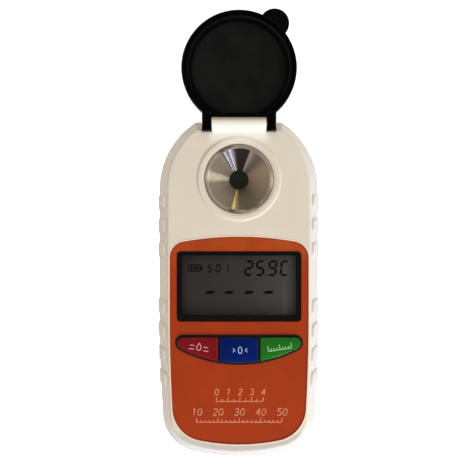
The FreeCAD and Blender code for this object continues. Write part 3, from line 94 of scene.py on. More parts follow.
class Tree:
    """A tree of nodes, filled in with numbers, colours and wires."""

    def __init__(self, tree):
        self.tree = tree

    def fill(self, socket, value):
        if isinstance(value, Wire):
            self.tree.links.new(value.socket, socket)
        elif isinstance(value, (tuple, list)) and socket.type == "RGBA" and len(value) == 3:
            socket.default_value = (*value, 1.0)
        else:
            socket.default_value = value

    def node(self, kind, settings=None, *values, out=0, **named):
        """Add any node: its own settings first, then its sockets in order or by name."""
        made = self.tree.nodes.new(kind)
        for name, value in (settings or {}).items():
            if name == "stops":
                ramp = made.color_ramp
                while len(ramp.elements) < len(value):
                    ramp.elements.new(0.5)
                for stop, (place, colour) in zip(ramp.elements, value):
                    stop.position = place
                    stop.color = (*colour, 1.0)
            else:
                setattr(made, name, value)
        for socket, value in zip(made.inputs, values):
            self.fill(socket, value)
        for name, value in named.items():
            self.fill(made.inputs[name.replace("_", " ").title()], value)
        outputs = [socket for socket in made.outputs if socket.enabled]
        return Wire(self, outputs[out])

    def outputs(self, kind, *values):
        """All the outputs of a new node by name."""
        made = self.node(kind, None, *values).socket.node
        return {socket.name: Wire(self, socket) for socket in made.outputs}

    def mix(self, share, first, second):
        """Blend two colours."""
        made = self.tree.nodes.new("ShaderNodeMix")
        made.data_type = "RGBA"
        self.fill(made.inputs[0], share)
        self.fill(made.inputs[6], first)
        self.fill(made.inputs[7], second)
        return Wire(self, made.outputs[2])


class Paint(Tree):
    """One procedural material around a Principled shader."""

    def __init__(self, name, colour, roughness=0.5, **constants):
        self.material = bpy.data.materials.new(name)
        self.material.use_nodes = True
        super().__init__(self.material.node_tree)
        self.shader = self.tree.nodes["Principled BSDF"]
        self.material.diffuse_color = (*colour, 1.0)
        self.set("Base Color", colour)
        self.set("Roughness", roughness)
        for socket, value in constants.items():
            self.set(socket.replace("_", " ").title().replace("Ior", "IOR"), value)

    def set(self, socket, value):
        """Give one of the shader's sockets a number, a colour or a wire."""
        self.fill(self.shader.inputs[socket], value)

    def cover(self, colour, roughness=None, grain=None):
        """Give the colour, the roughness and the bump's height and depth: the finish is ready."""
        self.set("Base Color", colour)
        if roughness is not None:
            self.set("Roughness", roughness)
        if grain is not None:
            self.set("Normal", self.bump(*grain))
        return self.material

    def place(self):
        """Where a point is on the object, in metres."""
        return self.node("ShaderNodeTexCoord", out=3)

    def axes(self):
        """The point's x, y and z in millimetres."""
        return [part * 1000.0 for part in self.outputs("ShaderNodeSeparateXYZ", self.place()).values()]

    def noise(self, size, detail=2.0, roughness=0.5, stretch=(1, 1, 1)):
        """Cloudy noise whose grains are about size millimetres across."""
        spot = self.node("ShaderNodeVectorMath", {"operation": "MULTIPLY"}, self.place(), stretch)
        return self.node("ShaderNodeTexNoise", None, Vector=spot, Scale=1000.0 / size, Detail=detail,
                         Roughness=roughness)

    def corner_shade(self, reach):
        """1 in the open and less in corners, grooves and under edges."""
        return self.node("ShaderNodeAmbientOcclusion", {"samples": 8}, Distance=reach * MM, out=1)

    def bump(self, height, depth):
        """Raise the surface by depth millimetres where height is 1."""
        return self.node("ShaderNodeBump", None, Strength=1.0, Distance=depth * MM, Height=height)


def tone(*levels):
    """A colour in a picture's 0 to 255 numbers, made linear."""
    shares = [level / 255 for level in levels]
    return tuple(share / 12.92 if share <= 0.04045 else ((share + 0.055) / 1.055) ** 2.4
                 for share in shares)


def scaled(colour, factor):
    """A lighter or darker shade of a colour."""
    return tuple(level * factor for level in colour)


def clouded(name, colour, low, high, size, gloss, detail=2.0, grain=None, **constants):
    """A finish that drifts from low to high; grain is its bump's size, detail and depth."""
    paint = Paint(name, colour, gloss, **constants)
    drift = paint.mix(paint.noise(size, detail), low, high)
    return paint.cover(drift, grain=grain and (paint.noise(*grain[:2]), grain[2]))


def thin_ink(name, ink, worn, size, full, gloss):
    """Printed ink, slightly broken where it is thin."""
    paint = Paint(name, ink, gloss, specular_ior_level=0.3)
    return paint.cover(paint.mix(paint.noise(size).smooth(0.3, full), worn, ink))


# Finishes

def cream_moulding():
    """Matt cream case plastic with a fine spark-eroded grain, painted light and shade in places, and
    painted shade in the corners.
    """
    cream = tone(228, 215, 196)
    paint = Paint("cream_moulding", cream, 0.5, specular_ior_level=0.35)
    cloud = paint.noise(14.0, 3.0).smooth(0.3, 0.7)
    base = paint.mix(cloud, scaled(cream, 0.975), scaled(cream, 1.02))
    speck = paint.noise(0.35, 1.0).smooth(0.62, 0.75)
    base = paint.mix(speck * 0.10, base, scaled(cream, 0.8))
    x, y, z = paint.axes()
    front = z.smooth(FACE - 0.6, FACE - 0.1)
    wall = z.smooth(FACE - 0.3, FACE - 1.2)
    # Painted light: the barrel and the face just below it are whitened, standing in for the lamps'
    # light and its bounce off the barrel.
    hinge_highlight = y.smooth(HINGE_Y - 8.0, HINGE_Y - 3.0) * x.math("ABSOLUTE").smooth(12.0, 8.5) * front
    # Painted shade: the barrel's far side, turned away from the lamps, is darkened and warmed.
    barrel_top_shade = y.smooth(HINGE_Y + 0.9, HINGE_Y + 1.9) * front
    # Painted shade: the rounded edge along the bottom of the face is toned down from its lamp-lit
    # brightness.
    lower_rim_shade = y.smooth(-48.0, -51.0) * z.smooth(FACE - 0.8, FACE - 0.3)
    for share, colour in ((hinge_highlight * y.smooth(HINGE_Y + 1.7, HINGE_Y + 0.3), (249, 244, 233)),
                          (barrel_top_shade, (200, 184, 163)), (lower_rim_shade, (205, 194, 184)),
                          # Painted highlight: a cool, paler tint on the lit right wall and the lower
                          # wall.
                          (x.smooth(20.0, 25.0) * wall * 0.8, (215, 210, 205)),
                          (y.smooth(-50.0, -54.0) * wall, (206, 203, 201))):
        base = paint.mix(share, base, tone(*colour))
    base = painted_seam_shade(paint, base, z)
    # Painted shade: ambient occlusion darkens the cream in corners, grooves and under edges.
    open_air = paint.corner_shade(1.2).smooth(0.05, 0.5)
    return paint.cover(paint.mix(open_air, tone(190, 172, 150), base),
                       0.44 + 0.12 * paint.noise(2.5), (paint.noise(0.22, 2.0, 0.6), 0.006))


def painted_seam_shade(paint, base, z):
    """Painted shade: darken the case a little along the seam between its halves."""
    near = (z - SEAM).math("ABSOLUTE").smooth(1.5, 0.3)
    return paint.mix(near * 0.45, base, tone(178, 166, 154))


def film_edge():
    """A painted shadow line along the film's cut edge, where the lip shades it: a darker orange."""
    return clouded("film_edge", tone(134, 56, 30), tone(126, 52, 28), tone(142, 62, 34), 2.0, 0.5,
                   specular_ior_level=0.1)


def cream_lip():
    """The edge of the case around the label, in a paler peach cream: a painted highlight for its lit
    edge and the orange light it catches.
    """
    cream = tone(250, 224, 203)
    return clouded("cream_lip", cream, scaled(cream, 0.94), cream, 3.0, 0.35, grain=(0.4, 2.0, 0.004))


def orange_film():
    """Printed polyester film: even orange with a velvet grain, a shade lighter at the top."""
    low, high = tone(168, 58, 20), tone(180, 74, 34)
    paint = Paint("orange_film", low, 0.42, specular_ior_level=0.1)
    y = paint.axes()[1]
    base = paint.mix(y.smooth(4.0, 18.0), low, high)
    base = paint.mix(paint.noise(9.0).smooth(0.35, 0.65) * 0.5, base, tone(157, 54, 22))
    return paint.cover(base, 0.38 + 0.1 * paint.noise(0.6), (paint.noise(0.12, 1.0), 0.003))


def clear_window():
    """Hard-coated clear acrylic with a black border printed around the display's view."""
    paint = Paint("clear_window", (0.006, 0.005, 0.005), 0.06, specular_ior_level=0.4)
    gloss = paint.node("ShaderNodeFresnel", None, 1.35)
    clear = paint.node("ShaderNodeBsdfTransparent", None, (0.93, 0.94, 0.94))
    x, y, _ = paint.axes()
    across = x.math("ABSOLUTE").smooth(VIEW_HALF_WIDTH - 0.03, VIEW_HALF_WIDTH + 0.03)
    along = (y - VIEW_Y).math("ABSOLUTE").smooth(VIEW_HALF_HEIGHT - 0.03, VIEW_HALF_HEIGHT + 0.03)
    border = across.math("MAXIMUM", along)
    haze = paint.noise(5.0) * 0.01
    share = (gloss * 0.8 + haze).math("MAXIMUM", border)
    both = paint.node("ShaderNodeMixShader", None, share, clear, Wire(paint, paint.shader.outputs[0]))
    paint.fill(paint.tree.nodes["Material Output"].inputs["Surface"], both)
    return paint.material


def display_glass():
    """A display cell under its polariser: warm dark grey, lighter and greener to the right, with a
    painted glare band.
    """
    left, middle, right = tone(97, 87, 84), tone(110, 101, 98), tone(134, 129, 122)
    paint = Paint("display_glass", middle, 0.3, specular_ior_level=0.15)
    x, y, _ = paint.axes()
    across = (x + 22.0) / 44.0
    base = paint.node("ShaderNodeValToRGB", {"stops": [(0.0, left), (0.55, middle), (1.0, right)]},
                      across)
    # Painted reflection: a pale glare band down the right of the cell.
    glare_streak = (x - 16.0).math("ABSOLUTE").smooth(1.6, 0.2) * y.smooth(14.0, -8.0)
    base = paint.mix(glare_streak * 0.35, base, tone(156, 152, 140))
    return paint.cover(base, 0.25 + 0.1 * paint.noise(3.0))


def display_film():
    """The reflector behind the display, fine-brushed silver grey."""
    paint = Paint("display_film", tone(120, 118, 110), 0.4, metallic=0.6)
    brushed = paint.noise(0.3, stretch=(1, 0.05, 1))
    return paint.cover(paint.mix(brushed, tone(105, 103, 97), tone(135, 132, 124)))


def display_ink():
    """The dark liquid-crystal segments."""
    return clouded("display_ink", tone(16, 14, 15), tone(12, 11, 12), tone(24, 21, 22), 1.2, 0.4,
                   specular_ior_level=0.1)


def moulded_black(name="moulded_black", shade=26, gloss=0.5):
    """Black engineering plastic with a fine grain."""
    paint = Paint(name, tone(shade, shade, shade), gloss, specular_ior_level=0.2)
    cloud = paint.noise(6.0, 3.0)
    light = tone(shade + 4, shade + 4, shade + 3)
    return paint.cover(paint.mix(cloud, tone(shade - 3, shade - 3, shade - 4), light),
                       gloss - 0.06 + 0.12 * paint.noise(1.5),
                       (paint.noise(0.35, 2.0, 0.6), 0.008))


def moulded_lid():
    """The lid's black plastic: a soft floor inside, polished rims and faint wiping marks."""
    paint = Paint("moulded_lid", tone(17, 17, 16), 0.5, specular_ior_level=0.1)
    z = paint.axes()[2]
    inside = z.smooth(LID_FLOOR + 0.9, LID_FLOOR + 0.3)
    cloud = paint.noise(7.0, 4.0, 0.6, stretch=(1, 0.7, 1))
    floor = paint.mix(cloud.smooth(0.35, 0.7), tone(14, 14, 13), tone(21, 21, 19))
    return paint.cover(paint.mix(inside, tone(4, 4, 4), floor),
                       0.14 + 0.3 * inside + 0.08 * paint.noise(1.5),
                       (paint.noise(0.3, 2.0, 0.6), 0.005))


def grip_plastic():
    """The same cream plastic on the grip pads, a little darker, with painted light and shade at the
    pads' ends and a cool painted highlight tint on the right.
    """
    cream = tone(220, 206, 188)
    paint = Paint("grip_plastic", cream, 0.45, specular_ior_level=0.3)
    x, _, z = paint.axes()
    base = paint.mix(paint.noise(3.0, 3.0), scaled(cream, 0.94), cream)
    ledge = z.smooth(FRONT_GRIP_END - 1.05, FRONT_GRIP_END - 0.45)
    crease = z.smooth(FRONT_GRIP_END + 0.02, FRONT_GRIP_END + 0.07)
    # Painted highlight: a cool, paler tint on the lit right-hand pads.
    base = paint.mix(x.smooth(20.0, 25.0) * 0.8, base, tone(215, 210, 205))
    # Painted light on the left-hand pads' ends and painted shade at the right-hand pads' ends, as the
    # lamps stand to the right.
    base = paint.mix(ledge * x.smooth(5.0, -5.0), base, tone(252, 244, 228))
    base = paint.mix(crease * x.smooth(-5.0, 5.0), base, tone(200, 194, 186))
    return paint.cover(painted_seam_shade(paint, base, z), 0.4 + 0.12 * paint.noise(2.0),
                       (paint.noise(0.25), 0.004))


def cream_shadow():
    """The dark line of a fine gap in the case."""
    return clouded("cream_shadow", tone(142, 130, 114), tone(128, 116, 100), tone(156, 144, 128),
                   4.0, 0.7)


def dark_prism_glass():
    """The prism's polished top over its dark, light-tight chamber."""
    paint = Paint("dark_prism_glass", tone(38, 40, 34), 0.05, ior=1.52, transmission_weight=0.35)
    return paint.cover(paint.mix(paint.noise(2.0), tone(34, 37, 30), tone(44, 46, 40)),
                       0.03 + 0.03 * paint.noise(2.0))


def gloss_key(name, colour, deep):
    """Glossy key plastic, deeper in colour away from the light."""
    paint = Paint(name, colour, 0.24, specular_ior_level=0.2, coat_roughness=0.08)
    x, y, _ = paint.axes()
    slope = (y * 0.5 - x * 0.1 + 14.0).smooth(0.0, 8.0)
    base = paint.mix(slope * 0.75, colour, deep)
    base = paint.mix(paint.noise(4.0) * 0.25, base, deep)
    paint.set("Coat Weight", 0.12 + 0.1 * paint.noise(3.0, 1.0))
    return paint.cover(base, grain=(paint.noise(0.5), 0.004))


def around_dish(paint):
    """A point's distance from the dish's axis, and a maker of fans of painted reflection around it."""
    x, y, _ = paint.axes()
    y = y - DISH_Y
    degrees = y.math("ARCTAN2", x) * (180.0 / math.pi)

    def fan(middle, half, soft):
        """1 in a fan of this half angle around a direction, in degrees from +x."""
        off = (degrees - middle).math("ABSOLUTE")
        return (360.0 - off).math("MINIMUM", off).smooth(half + soft, half - soft)

    return (x * x + y * y) ** 0.5, fan


def fanned(paint, fan, base, fans):
    """Lay fans of painted reflection over a colour, each with its direction, half angle, softness,
    share and tone.
    """
    for middle, half, soft, share, colour in fans:
        base = paint.mix(fan(middle, half, soft) * share, base, tone(*colour))
    return base


def turned_steel():
    """The dish: stainless steel turned on a lathe, with fans of painted reflection around its axis."""
    warm = tone(181, 161, 140)
    paint = Paint("turned_steel", warm, 0.26, metallic=1.0, anisotropic=0.95,
                  anisotropic_rotation=0.25)
    radius, fan = around_dish(paint)
    # Painted reflections: light and dark fans, narrow white bands and a golden wedge laid on the steel
    # by direction around its axis.
    base = fanned(paint, fan, warm, (
        (-75.0, 46.0, 45.0, 1.0, (112, 104, 80)),
        (150.0, 26.0, 20.0, 0.8, (152, 139, 122)),
        (218.0, 16.0, 16.0, 0.6, (136, 122, 104)),
        (47.0, 13.0, 12.0, 0.8, (112, 99, 88)),
        (88.0, 19.5, 2.0, 1.0, (48, 40, 44)),
        (63.0, 3.4, 2.6, 0.8, (166, 155, 152)),
        (115.0, 10.0, 2.5, 1.0, (42, 45, 51)),
        (109.0, 1.8, 1.4, 1.0, (92, 95, 101)),
        (120.0, 1.8, 1.6, 1.0, (92, 93, 97)),
        (176.0, 5.0, 13.0, 0.9, (158, 148, 133)),
        (-98.0, 6.5, 2.0, 1.0, (162, 140, 94)),
        (-101.0, 2.4, 1.2, 1.0, (206, 182, 130))))
    rings = (radius * 42.0 + paint.noise(0.25)).math("SINE")
    base = paint.mix((rings * 0.5 + 0.5) * 0.14, base, scaled(warm, 0.5))
    # Darker blotches in a fan around 165 degrees.
    dark_blotches = paint.noise(3.2, 3.0, 0.6).smooth(0.52, 0.75) * fan(165.0, 35.0, 15.0)
    return paint.cover(paint.mix(dark_blotches * 0.25, base, tone(96, 88, 76)),
                       0.23 + 0.06 * paint.noise(1.8), (rings, 0.0012))


def flange_steel():
    """The dish's flat flange: the same steel with a coarser turned finish, painted glints to left and
    right, painted shade on the rolled edge and where the lamps' glints would fall, and fans of painted
    reflection.
    """
    bright, shaded, plain = (255, 248, 228), (120, 108, 90), tone(224, 209, 187)
    paint = Paint("flange_steel", plain, 0.4, metallic=1.0, anisotropic=0.9,
                  anisotropic_rotation=0.25)
    radius, fan = around_dish(paint)
    # Painted reflections: the bright fans are painted glints, and the shaded fans hide the lamps' own
    # glints.
    base = fanned(paint, fan, plain, (
        (-68.0, 46.0, 12.0, 1.0, (196, 178, 152)), (-103.0, 5.0, 5.0, 1.0, (150, 128, 94)),
        (84.0, 32.0, 6.0, 1.0, (202, 190, 176)),
        (-66.0, 14.0, 6.0, 1.0, shaded), (114.0, 14.0, 6.0, 1.0, shaded),
        (-3.0, 10.0, 6.0, 1.0, bright), (173.0, 9.0, 7.0, 1.0, bright)))
    # Painted shade: the rolled outer edge is darkened into a dark outline.
    rolled = radius.smooth(FLANGE_RADIUS - 0.2, FLANGE_RADIUS - 0.08)
    base = paint.mix(rolled, base, tone(120, 104, 84))
    rings = (radius * 30.0 + paint.noise(0.3)).math("SINE")
    return paint.cover(paint.mix((rings * 0.5 + 0.5) * 0.12, base, scaled(plain, 0.5)),
                       0.37 + 0.06 * paint.noise(1.5), (rings, 0.0015))


def optical_glass():
    """The polished light lens."""
    paint = Paint("optical_glass", (0.72, 0.82, 0.76), 0.02, ior=1.52, transmission_weight=1.0)
    paint.set("Roughness", 0.012 + 0.02 * paint.noise(2.0))
    return paint.material


def plated_steel(name="plated_steel", shade=188, gloss=0.28):
    """Bright zinc or nickel plate with faint drawn lines."""
    paint = Paint(name, tone(shade, shade, shade - 2), gloss, metallic=1.0)
    drawn = paint.noise(0.5, stretch=(1, 1, 0.1))
    dull, bright = (shade - 22, shade - 22, shade - 26), (shade + 14, shade + 14, shade + 10)
    return paint.cover(paint.mix(drawn, tone(*dull), tone(*bright)),
                       gloss + 0.14 * paint.noise(1.2), (drawn, 0.002))


def rubber(name, shade):
    """Soft rubber with a dusty skin."""
    return clouded(name, tone(shade, shade, shade), tone(shade - 8, shade - 8, shade - 8),
                   tone(shade + 8, shade + 8, shade + 7), 2.0, 0.75, 3.0, (0.3, 3.0, 0.012),
                   specular_ior_level=0.25)


def open_foam():
    """Grey open-cell foam."""
    paint = Paint("open_foam", tone(92, 92, 92), 0.9, specular_ior_level=0.1)
    cells = paint.node("ShaderNodeTexVoronoi", None, Vector=paint.place(), Scale=2200.0)
    return paint.cover(paint.mix(cells.smooth(0.1, 0.7), tone(58, 58, 58), tone(112, 112, 112)),
                       grain=(cells, 0.12))


def green_board():
    """Solder mask over copper: tracks and ground areas show as a second green."""
    paint = Paint("green_board", tone(30, 92, 48), 0.32)
    x, y, _ = paint.axes()
    wander = paint.noise(6.0, 1.0) * 1.4
    tracks = ((x + wander) * 3.1).math("SINE").smooth(0.55, 0.75)
    bars = ((y + wander) * 2.3).math("SINE").smooth(0.6, 0.8)
    patch = paint.noise(9.0, 0.0).smooth(0.47, 0.5)
    copper = paint.mix(patch, tracks, bars)
    return paint.cover(paint.mix(copper, tone(22, 76, 40), tone(58, 126, 66)), grain=(copper, 0.03))


def ribbon_film():
    """Amber flat cable with its copper tracks showing through."""
    paint = Paint("ribbon_film", tone(196, 140, 70), 0.3)
    z = paint.axes()[2]
    tracks = (z * 15.0).math("SINE").smooth(-0.2, 0.3)
    return paint.cover(paint.mix(tracks, tone(214, 160, 88), tone(160, 96, 48)),
                       grain=(tracks, 0.02))


def cell_jacket():
    """A plain sleeved cell: grey-blue sleeve between two bright metal ends."""
    paint = Paint("cell_jacket", tone(70, 84, 104), 0.3)
    y = paint.axes()[1]
    low, high = -50.4, -8.3
    sleeve = y.smooth(low - 0.1, low + 0.1) * y.smooth(high + 0.1, high - 0.1)
    paint.set("Metallic", 1.0 - sleeve)
    return paint.cover(paint.mix(sleeve, tone(196, 196, 194), tone(62, 78, 102)),
                       0.24 + 0.1 * paint.noise(2.0))


# Shapes

def finish(name, shape, material, body, smooth=True, angle=35.0, closed=True):
    """Turn a shape in millimetres into a piece that rides on a body; angle is its sharp limit."""
    mesh = bpy.data.meshes.new(name)
    shape.transform(Matrix.Scale(MM, 4))
    if closed:
        bmesh.ops.recalc_face_normals(shape, faces=shape.faces)
    for face in shape.faces:
        face.smooth = smooth
    for edge in shape.edges:
        if len(edge.link_faces) == 2 and edge.calc_face_angle(0.0) > math.radians(angle):
            edge.smooth = False
    shape.to_mesh(mesh)
    shape.free()
    mesh.materials.append(material)
    piece = bpy.data.objects.new(name, mesh)
    bpy.context.scene.collection.objects.link(piece)
    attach(piece, body)
    return piece


def skin(shape, rings, ring_closed=True, rows_closed=True):
    """Join rings of corners by faces, each ring and the row of rings closed on itself or open."""
    following = rings[1:] + rings[:1] if rows_closed else rings[1:]
    for first, second in zip(rings, following):
        count = len(first)
        for i in range(count if ring_closed else count - 1):
            k = (i + 1) % count
            shape.faces.new((first[i], second[i], second[k], first[k]))


def bent_corner(back, here, ahead, radius, steps):
    """Points that round a corner between the ways back and ahead."""
    first = here + back.normalized() * min(radius, back.length * 0.45)
    last = here + ahead.normalized() * min(radius, ahead.length * 0.45)
    shares = [step / steps for step in range(steps + 1)]
    return [first * (1 - t) ** 2 + here * (2 * t * (1 - t)) + last * t * t for t in shares]


def turned(name, profile, centre, material, body, steps=192):
    """A solid of revolution about a vertical axis, from a closed outline of radius and height."""
    shape = bmesh.new()
    rings = []
    for step in range(steps):
        turn = 2 * math.pi * step / steps
        rings.append([shape.verts.new((centre[0] + r * math.cos(turn), centre[1] + r * math.sin(turn),
                                       z)) for r, z in profile])
    skin(shape, rings)
    return finish(name, shape, material, body)


def arc_points(centre, radius, first, last, steps):
    """Points along an arc between two angles in degrees."""
    turns = [math.radians(first + (last - first) * i / steps) for i in range(steps + 1)]
    return [Vector((centre[0] + radius * math.cos(t), centre[1] + radius * math.sin(t))) for t in turns]


def key_field():
    """The field of all three keys, as points that run counter-clockwise."""
    arc = KEY_ARC - KEY_INSET
    end = KEY_END - KEY_INSET
    centre = KEY_BOTTOM + KEY_ARC
    end_y = KEY_TOP - KEY_END
    end_x = math.sqrt((arc - end) ** 2 - (centre - end_y) ** 2)
    lean = math.degrees(math.atan2(end_x, centre - end_y))
    points = arc_points((0, centre), arc, -90 - lean, -90 + lean, 120)
    points += arc_points((end_x, end_y), end, -90 + lean, 90, 24)[1:]
    points += arc_points((-end_x, end_y), end, 90, 270 - lean, 24)[:-1]
    return points


def clipped(points, limit, keep_right):
    """The part of an outline to the right or left of a vertical line."""
    result = []
    for here, after in zip(points, points[1:] + points[:1]):
        inside = (here.x > limit) == keep_right
        crosses = inside != ((after.x > limit) == keep_right)
        if inside:
            result.append(here)
        if crosses:
            share = (limit - here.x) / (after.x - here.x)
            result.append(here.lerp(after, share))
    return result


def resampled(points, spacing):
    """The same closed outline with evenly spaced points."""
    result = []
    for here, after in zip(points, points[1:] + points[:1]):
        count = max(1, round((after - here).length / spacing))
        result += [here.lerp(after, i / count) for i in range(count)]
    return result


def rounded_plan(points, radius):
    """Round only the sharp corners of a closed outline."""
    result = []
    count = len(points)
    for i, here in enumerate(points):
        back, ahead = points[i - 1] - here, points[(i + 1) % count] - here
        if back.length < 1e-6 or ahead.length < 1e-6:
            continue
        if back.angle(ahead) > math.radians(150):
            result.append(here)
        else:
            result += bent_corner(back, here, ahead, radius, 6)
    return result


def key_cap(name, outline, middle, material, body):
    """A key cap with a crowned top, rolled edges and straight skirts."""
    crown, roll, corner, spacing = 0.1, 0.34, 0.6, 0.35
    outline = resampled(rounded_plan(outline, corner), spacing)
    middle = Vector(middle)
    shape = bmesh.new()
    rings = []

    def ring(shrink, height):
        loop = []
        for point in outline:
            reach = point - middle
            loop.append(middle + reach * (1 - shrink / max(reach.length, shrink + 0.1)))
        rings.append([shape.verts.new((p.x, p.y, height)) for p in loop])

    edge_high = KEY_HIGH - crown
    ring(0.0, KEY_LOW)
    ring(0.0, edge_high - roll)
    for step in range(1, 6):
        turn = math.pi / 2 * step / 5
        ring(roll * (1 - math.cos(turn)), edge_high - roll + roll * math.sin(turn))
    base = [Vector(v.co[:2]) for v in rings[-1]]
    for step in range(1, 10):
        share = 1 - step / 10
        rings.append([shape.verts.new((*(middle + (p - middle) * share),
                                       edge_high + crown * (1 - share ** 2))) for p in base])
    tip = shape.verts.new((middle.x, middle.y, KEY_HIGH))
    skin(shape, rings, rows_closed=False)
    for i, vertex in enumerate(rings[-1]):
        shape.faces.new((vertex, rings[-1][(i + 1) % len(rings[-1])], tip))
    shape.faces.new(list(reversed(rings[0])))
    return finish(name, shape, material, body, angle=50.0)


def surface_of(piece):
    """A finder of a piece's height in millimetres at a place seen from above."""
    bpy.context.view_layer.update()
    tree = BVHTree.FromObject(piece, bpy.context.evaluated_depsgraph_get())

    def height(x, y):
        return tree.ray_cast(Vector((x * MM, y * MM, 0.05)), Vector((0, 0, -1)))[0].z / MM

    return height


def strokes(name, paths, width, thickness, height, material, body):
    """Flat raised lines along paths in millimetres, laid on the surface that height gives."""
    shape = bmesh.new()
    sides = [(math.cos(a), math.sin(a)) for a in (math.pi * 2 * (k + 0.5) / 8 for k in range(8))]
    for path in paths:
        closed = (Vector(path[0]) - Vector(path[-1])).length < 1e-6 and len(path) > 2
        points = resampled_open([Vector(p) for p in path], 0.3)
        if closed:
            points = points[:-1]
        count = len(points)
        rings = []
        for i, point in enumerate(points):
            before = points[i - 1] if i or closed else point
            after = points[(i + 1) % count] if i < count - 1 or closed else point
            along = (after - before).normalized()
            across = Vector((-along.y, along.x))
            base = height(point.x, point.y)
            rings.append([shape.verts.new((point.x + across.x * c * width / 2,
                                           point.y + across.y * c * width / 2,
                                           base + thickness * (0.5 + 0.5 * s)))
                          for c, s in sides])
        skin(shape, rings, rows_closed=closed)
        if not closed:
            shape.faces.new(rings[0])
            shape.faces.new(list(reversed(rings[-1])))
    return finish(name, shape, material, body, angle=70.0)


def resampled_open(points, spacing):
    """The same open line with evenly spaced points."""
    result = [points[0]]
    for here, after in zip(points, points[1:]):
        count = max(1, math.ceil((after - here).length / spacing))
        result += [here.lerp(after, i / count) for i in range(1, count + 1)]
    return result


def moved(paths, x, y, size=1.0, tilt=0.0, slant=0.0):
    """Paths scaled, slanted, tilted by degrees and moved to a place."""
    cos, sin = math.cos(math.radians(tilt)), math.sin(math.radians(tilt))
    result = []
    for path in paths:
        points = [((px + slant * py) * size, py * size) for px, py in path]
        result.append([(x + px * cos - py * sin, y + px * sin + py * cos) for px, py in points])
    return result


# Plain plotter digits, as far as the marks need them, in a box 0.6 wide and 1 high
DIGITS = {
    "0": [[(0.3, 0), (0.08, 0.15), (0.02, 0.5), (0.08, 0.85), (0.3, 1), (0.52, 0.85), (0.58, 0.5),
           (0.52, 0.15), (0.3, 0)]],
    "1": [[(0.12, 0.8), (0.34, 1), (0.34, 0)]],
    "2": [[(0.04, 0.8), (0.14, 0.95), (0.32, 1), (0.5, 0.92), (0.55, 0.74), (0.48, 0.55), (0.04, 0),
           (0.58, 0)]],
    "3": [[(0.05, 0.88), (0.22, 1), (0.44, 0.96), (0.53, 0.78), (0.44, 0.58), (0.24, 0.53),
           (0.46, 0.48), (0.57, 0.28), (0.48, 0.06), (0.24, 0), (0.03, 0.12)]],
    "4": [[(0.44, 0), (0.44, 1), (0.02, 0.3), (0.6, 0.3)]],
    "5": [[(0.52, 1), (0.12, 1), (0.08, 0.56), (0.3, 0.63), (0.5, 0.54), (0.57, 0.32), (0.48, 0.08),
           (0.26, 0), (0.04, 0.1)]],
}


def number(text, x, y, size, slant=0.0):
    """A number's strokes, centred on a place."""
    advance = 0.82
    start = -(len(text) * advance - 0.22) / 2
    paths = []
    for i, digit in enumerate(text):
        for path in DIGITS[digit]:
            paths.append([(px + start + i * advance, py - 0.5) for px, py in path])
    return moved(paths, x, y, size, slant=slant)


# Pieces

def sample_dish():
    """The dish as one turned piece with a flat flange and rolled edges."""
    back = [(5.0, 14.55), (6.2, 14.55), (6.2, 17.5), (DISH_THROAT, 20.45), (12.1, 20.45),
            (12.1, 20.6)]
    flange = [(FLANGE_RADIUS, 20.7), (FLANGE_RADIUS, 21.56), (FLANGE_RADIUS - 0.03, 21.63),
              (FLANGE_RADIUS - 0.1, FLANGE_TOP), (DISH_THROAT + 0.3, FLANGE_TOP),
              (DISH_THROAT + 0.14, 21.63), (DISH_THROAT + 0.04, 21.56), (DISH_THROAT, 21.45)]
    cone = [(3.45, 16.95), (3.4, 16.9), (3.4, 15.75), (5.0, 15.75)]
    piece = turned("turned_dish", back + flange + cone, (0, DISH_Y), turned_steel(), "case")
    piece.data.materials.append(flange_steel())
    for face in piece.data.polygons:
        spot = face.center / MM
        if spot.z > 21.2 and math.hypot(spot.x, spot.y - DISH_Y) > DISH_THROAT + 0.01:
            face.material_index = 1
    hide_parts("sample_dish")


def bore_ring(cream):
    """The case's fine inner edge around the dish's flange."""
    profile = [(11.99, 20.9), (11.99, 21.29), (12.01, 21.34), (12.06, 21.37), (12.6, 21.44),
               (12.7, 21.35), (12.3, 20.9)]
    turned("bore_ring", profile, (0, DISH_Y), cream, "case")


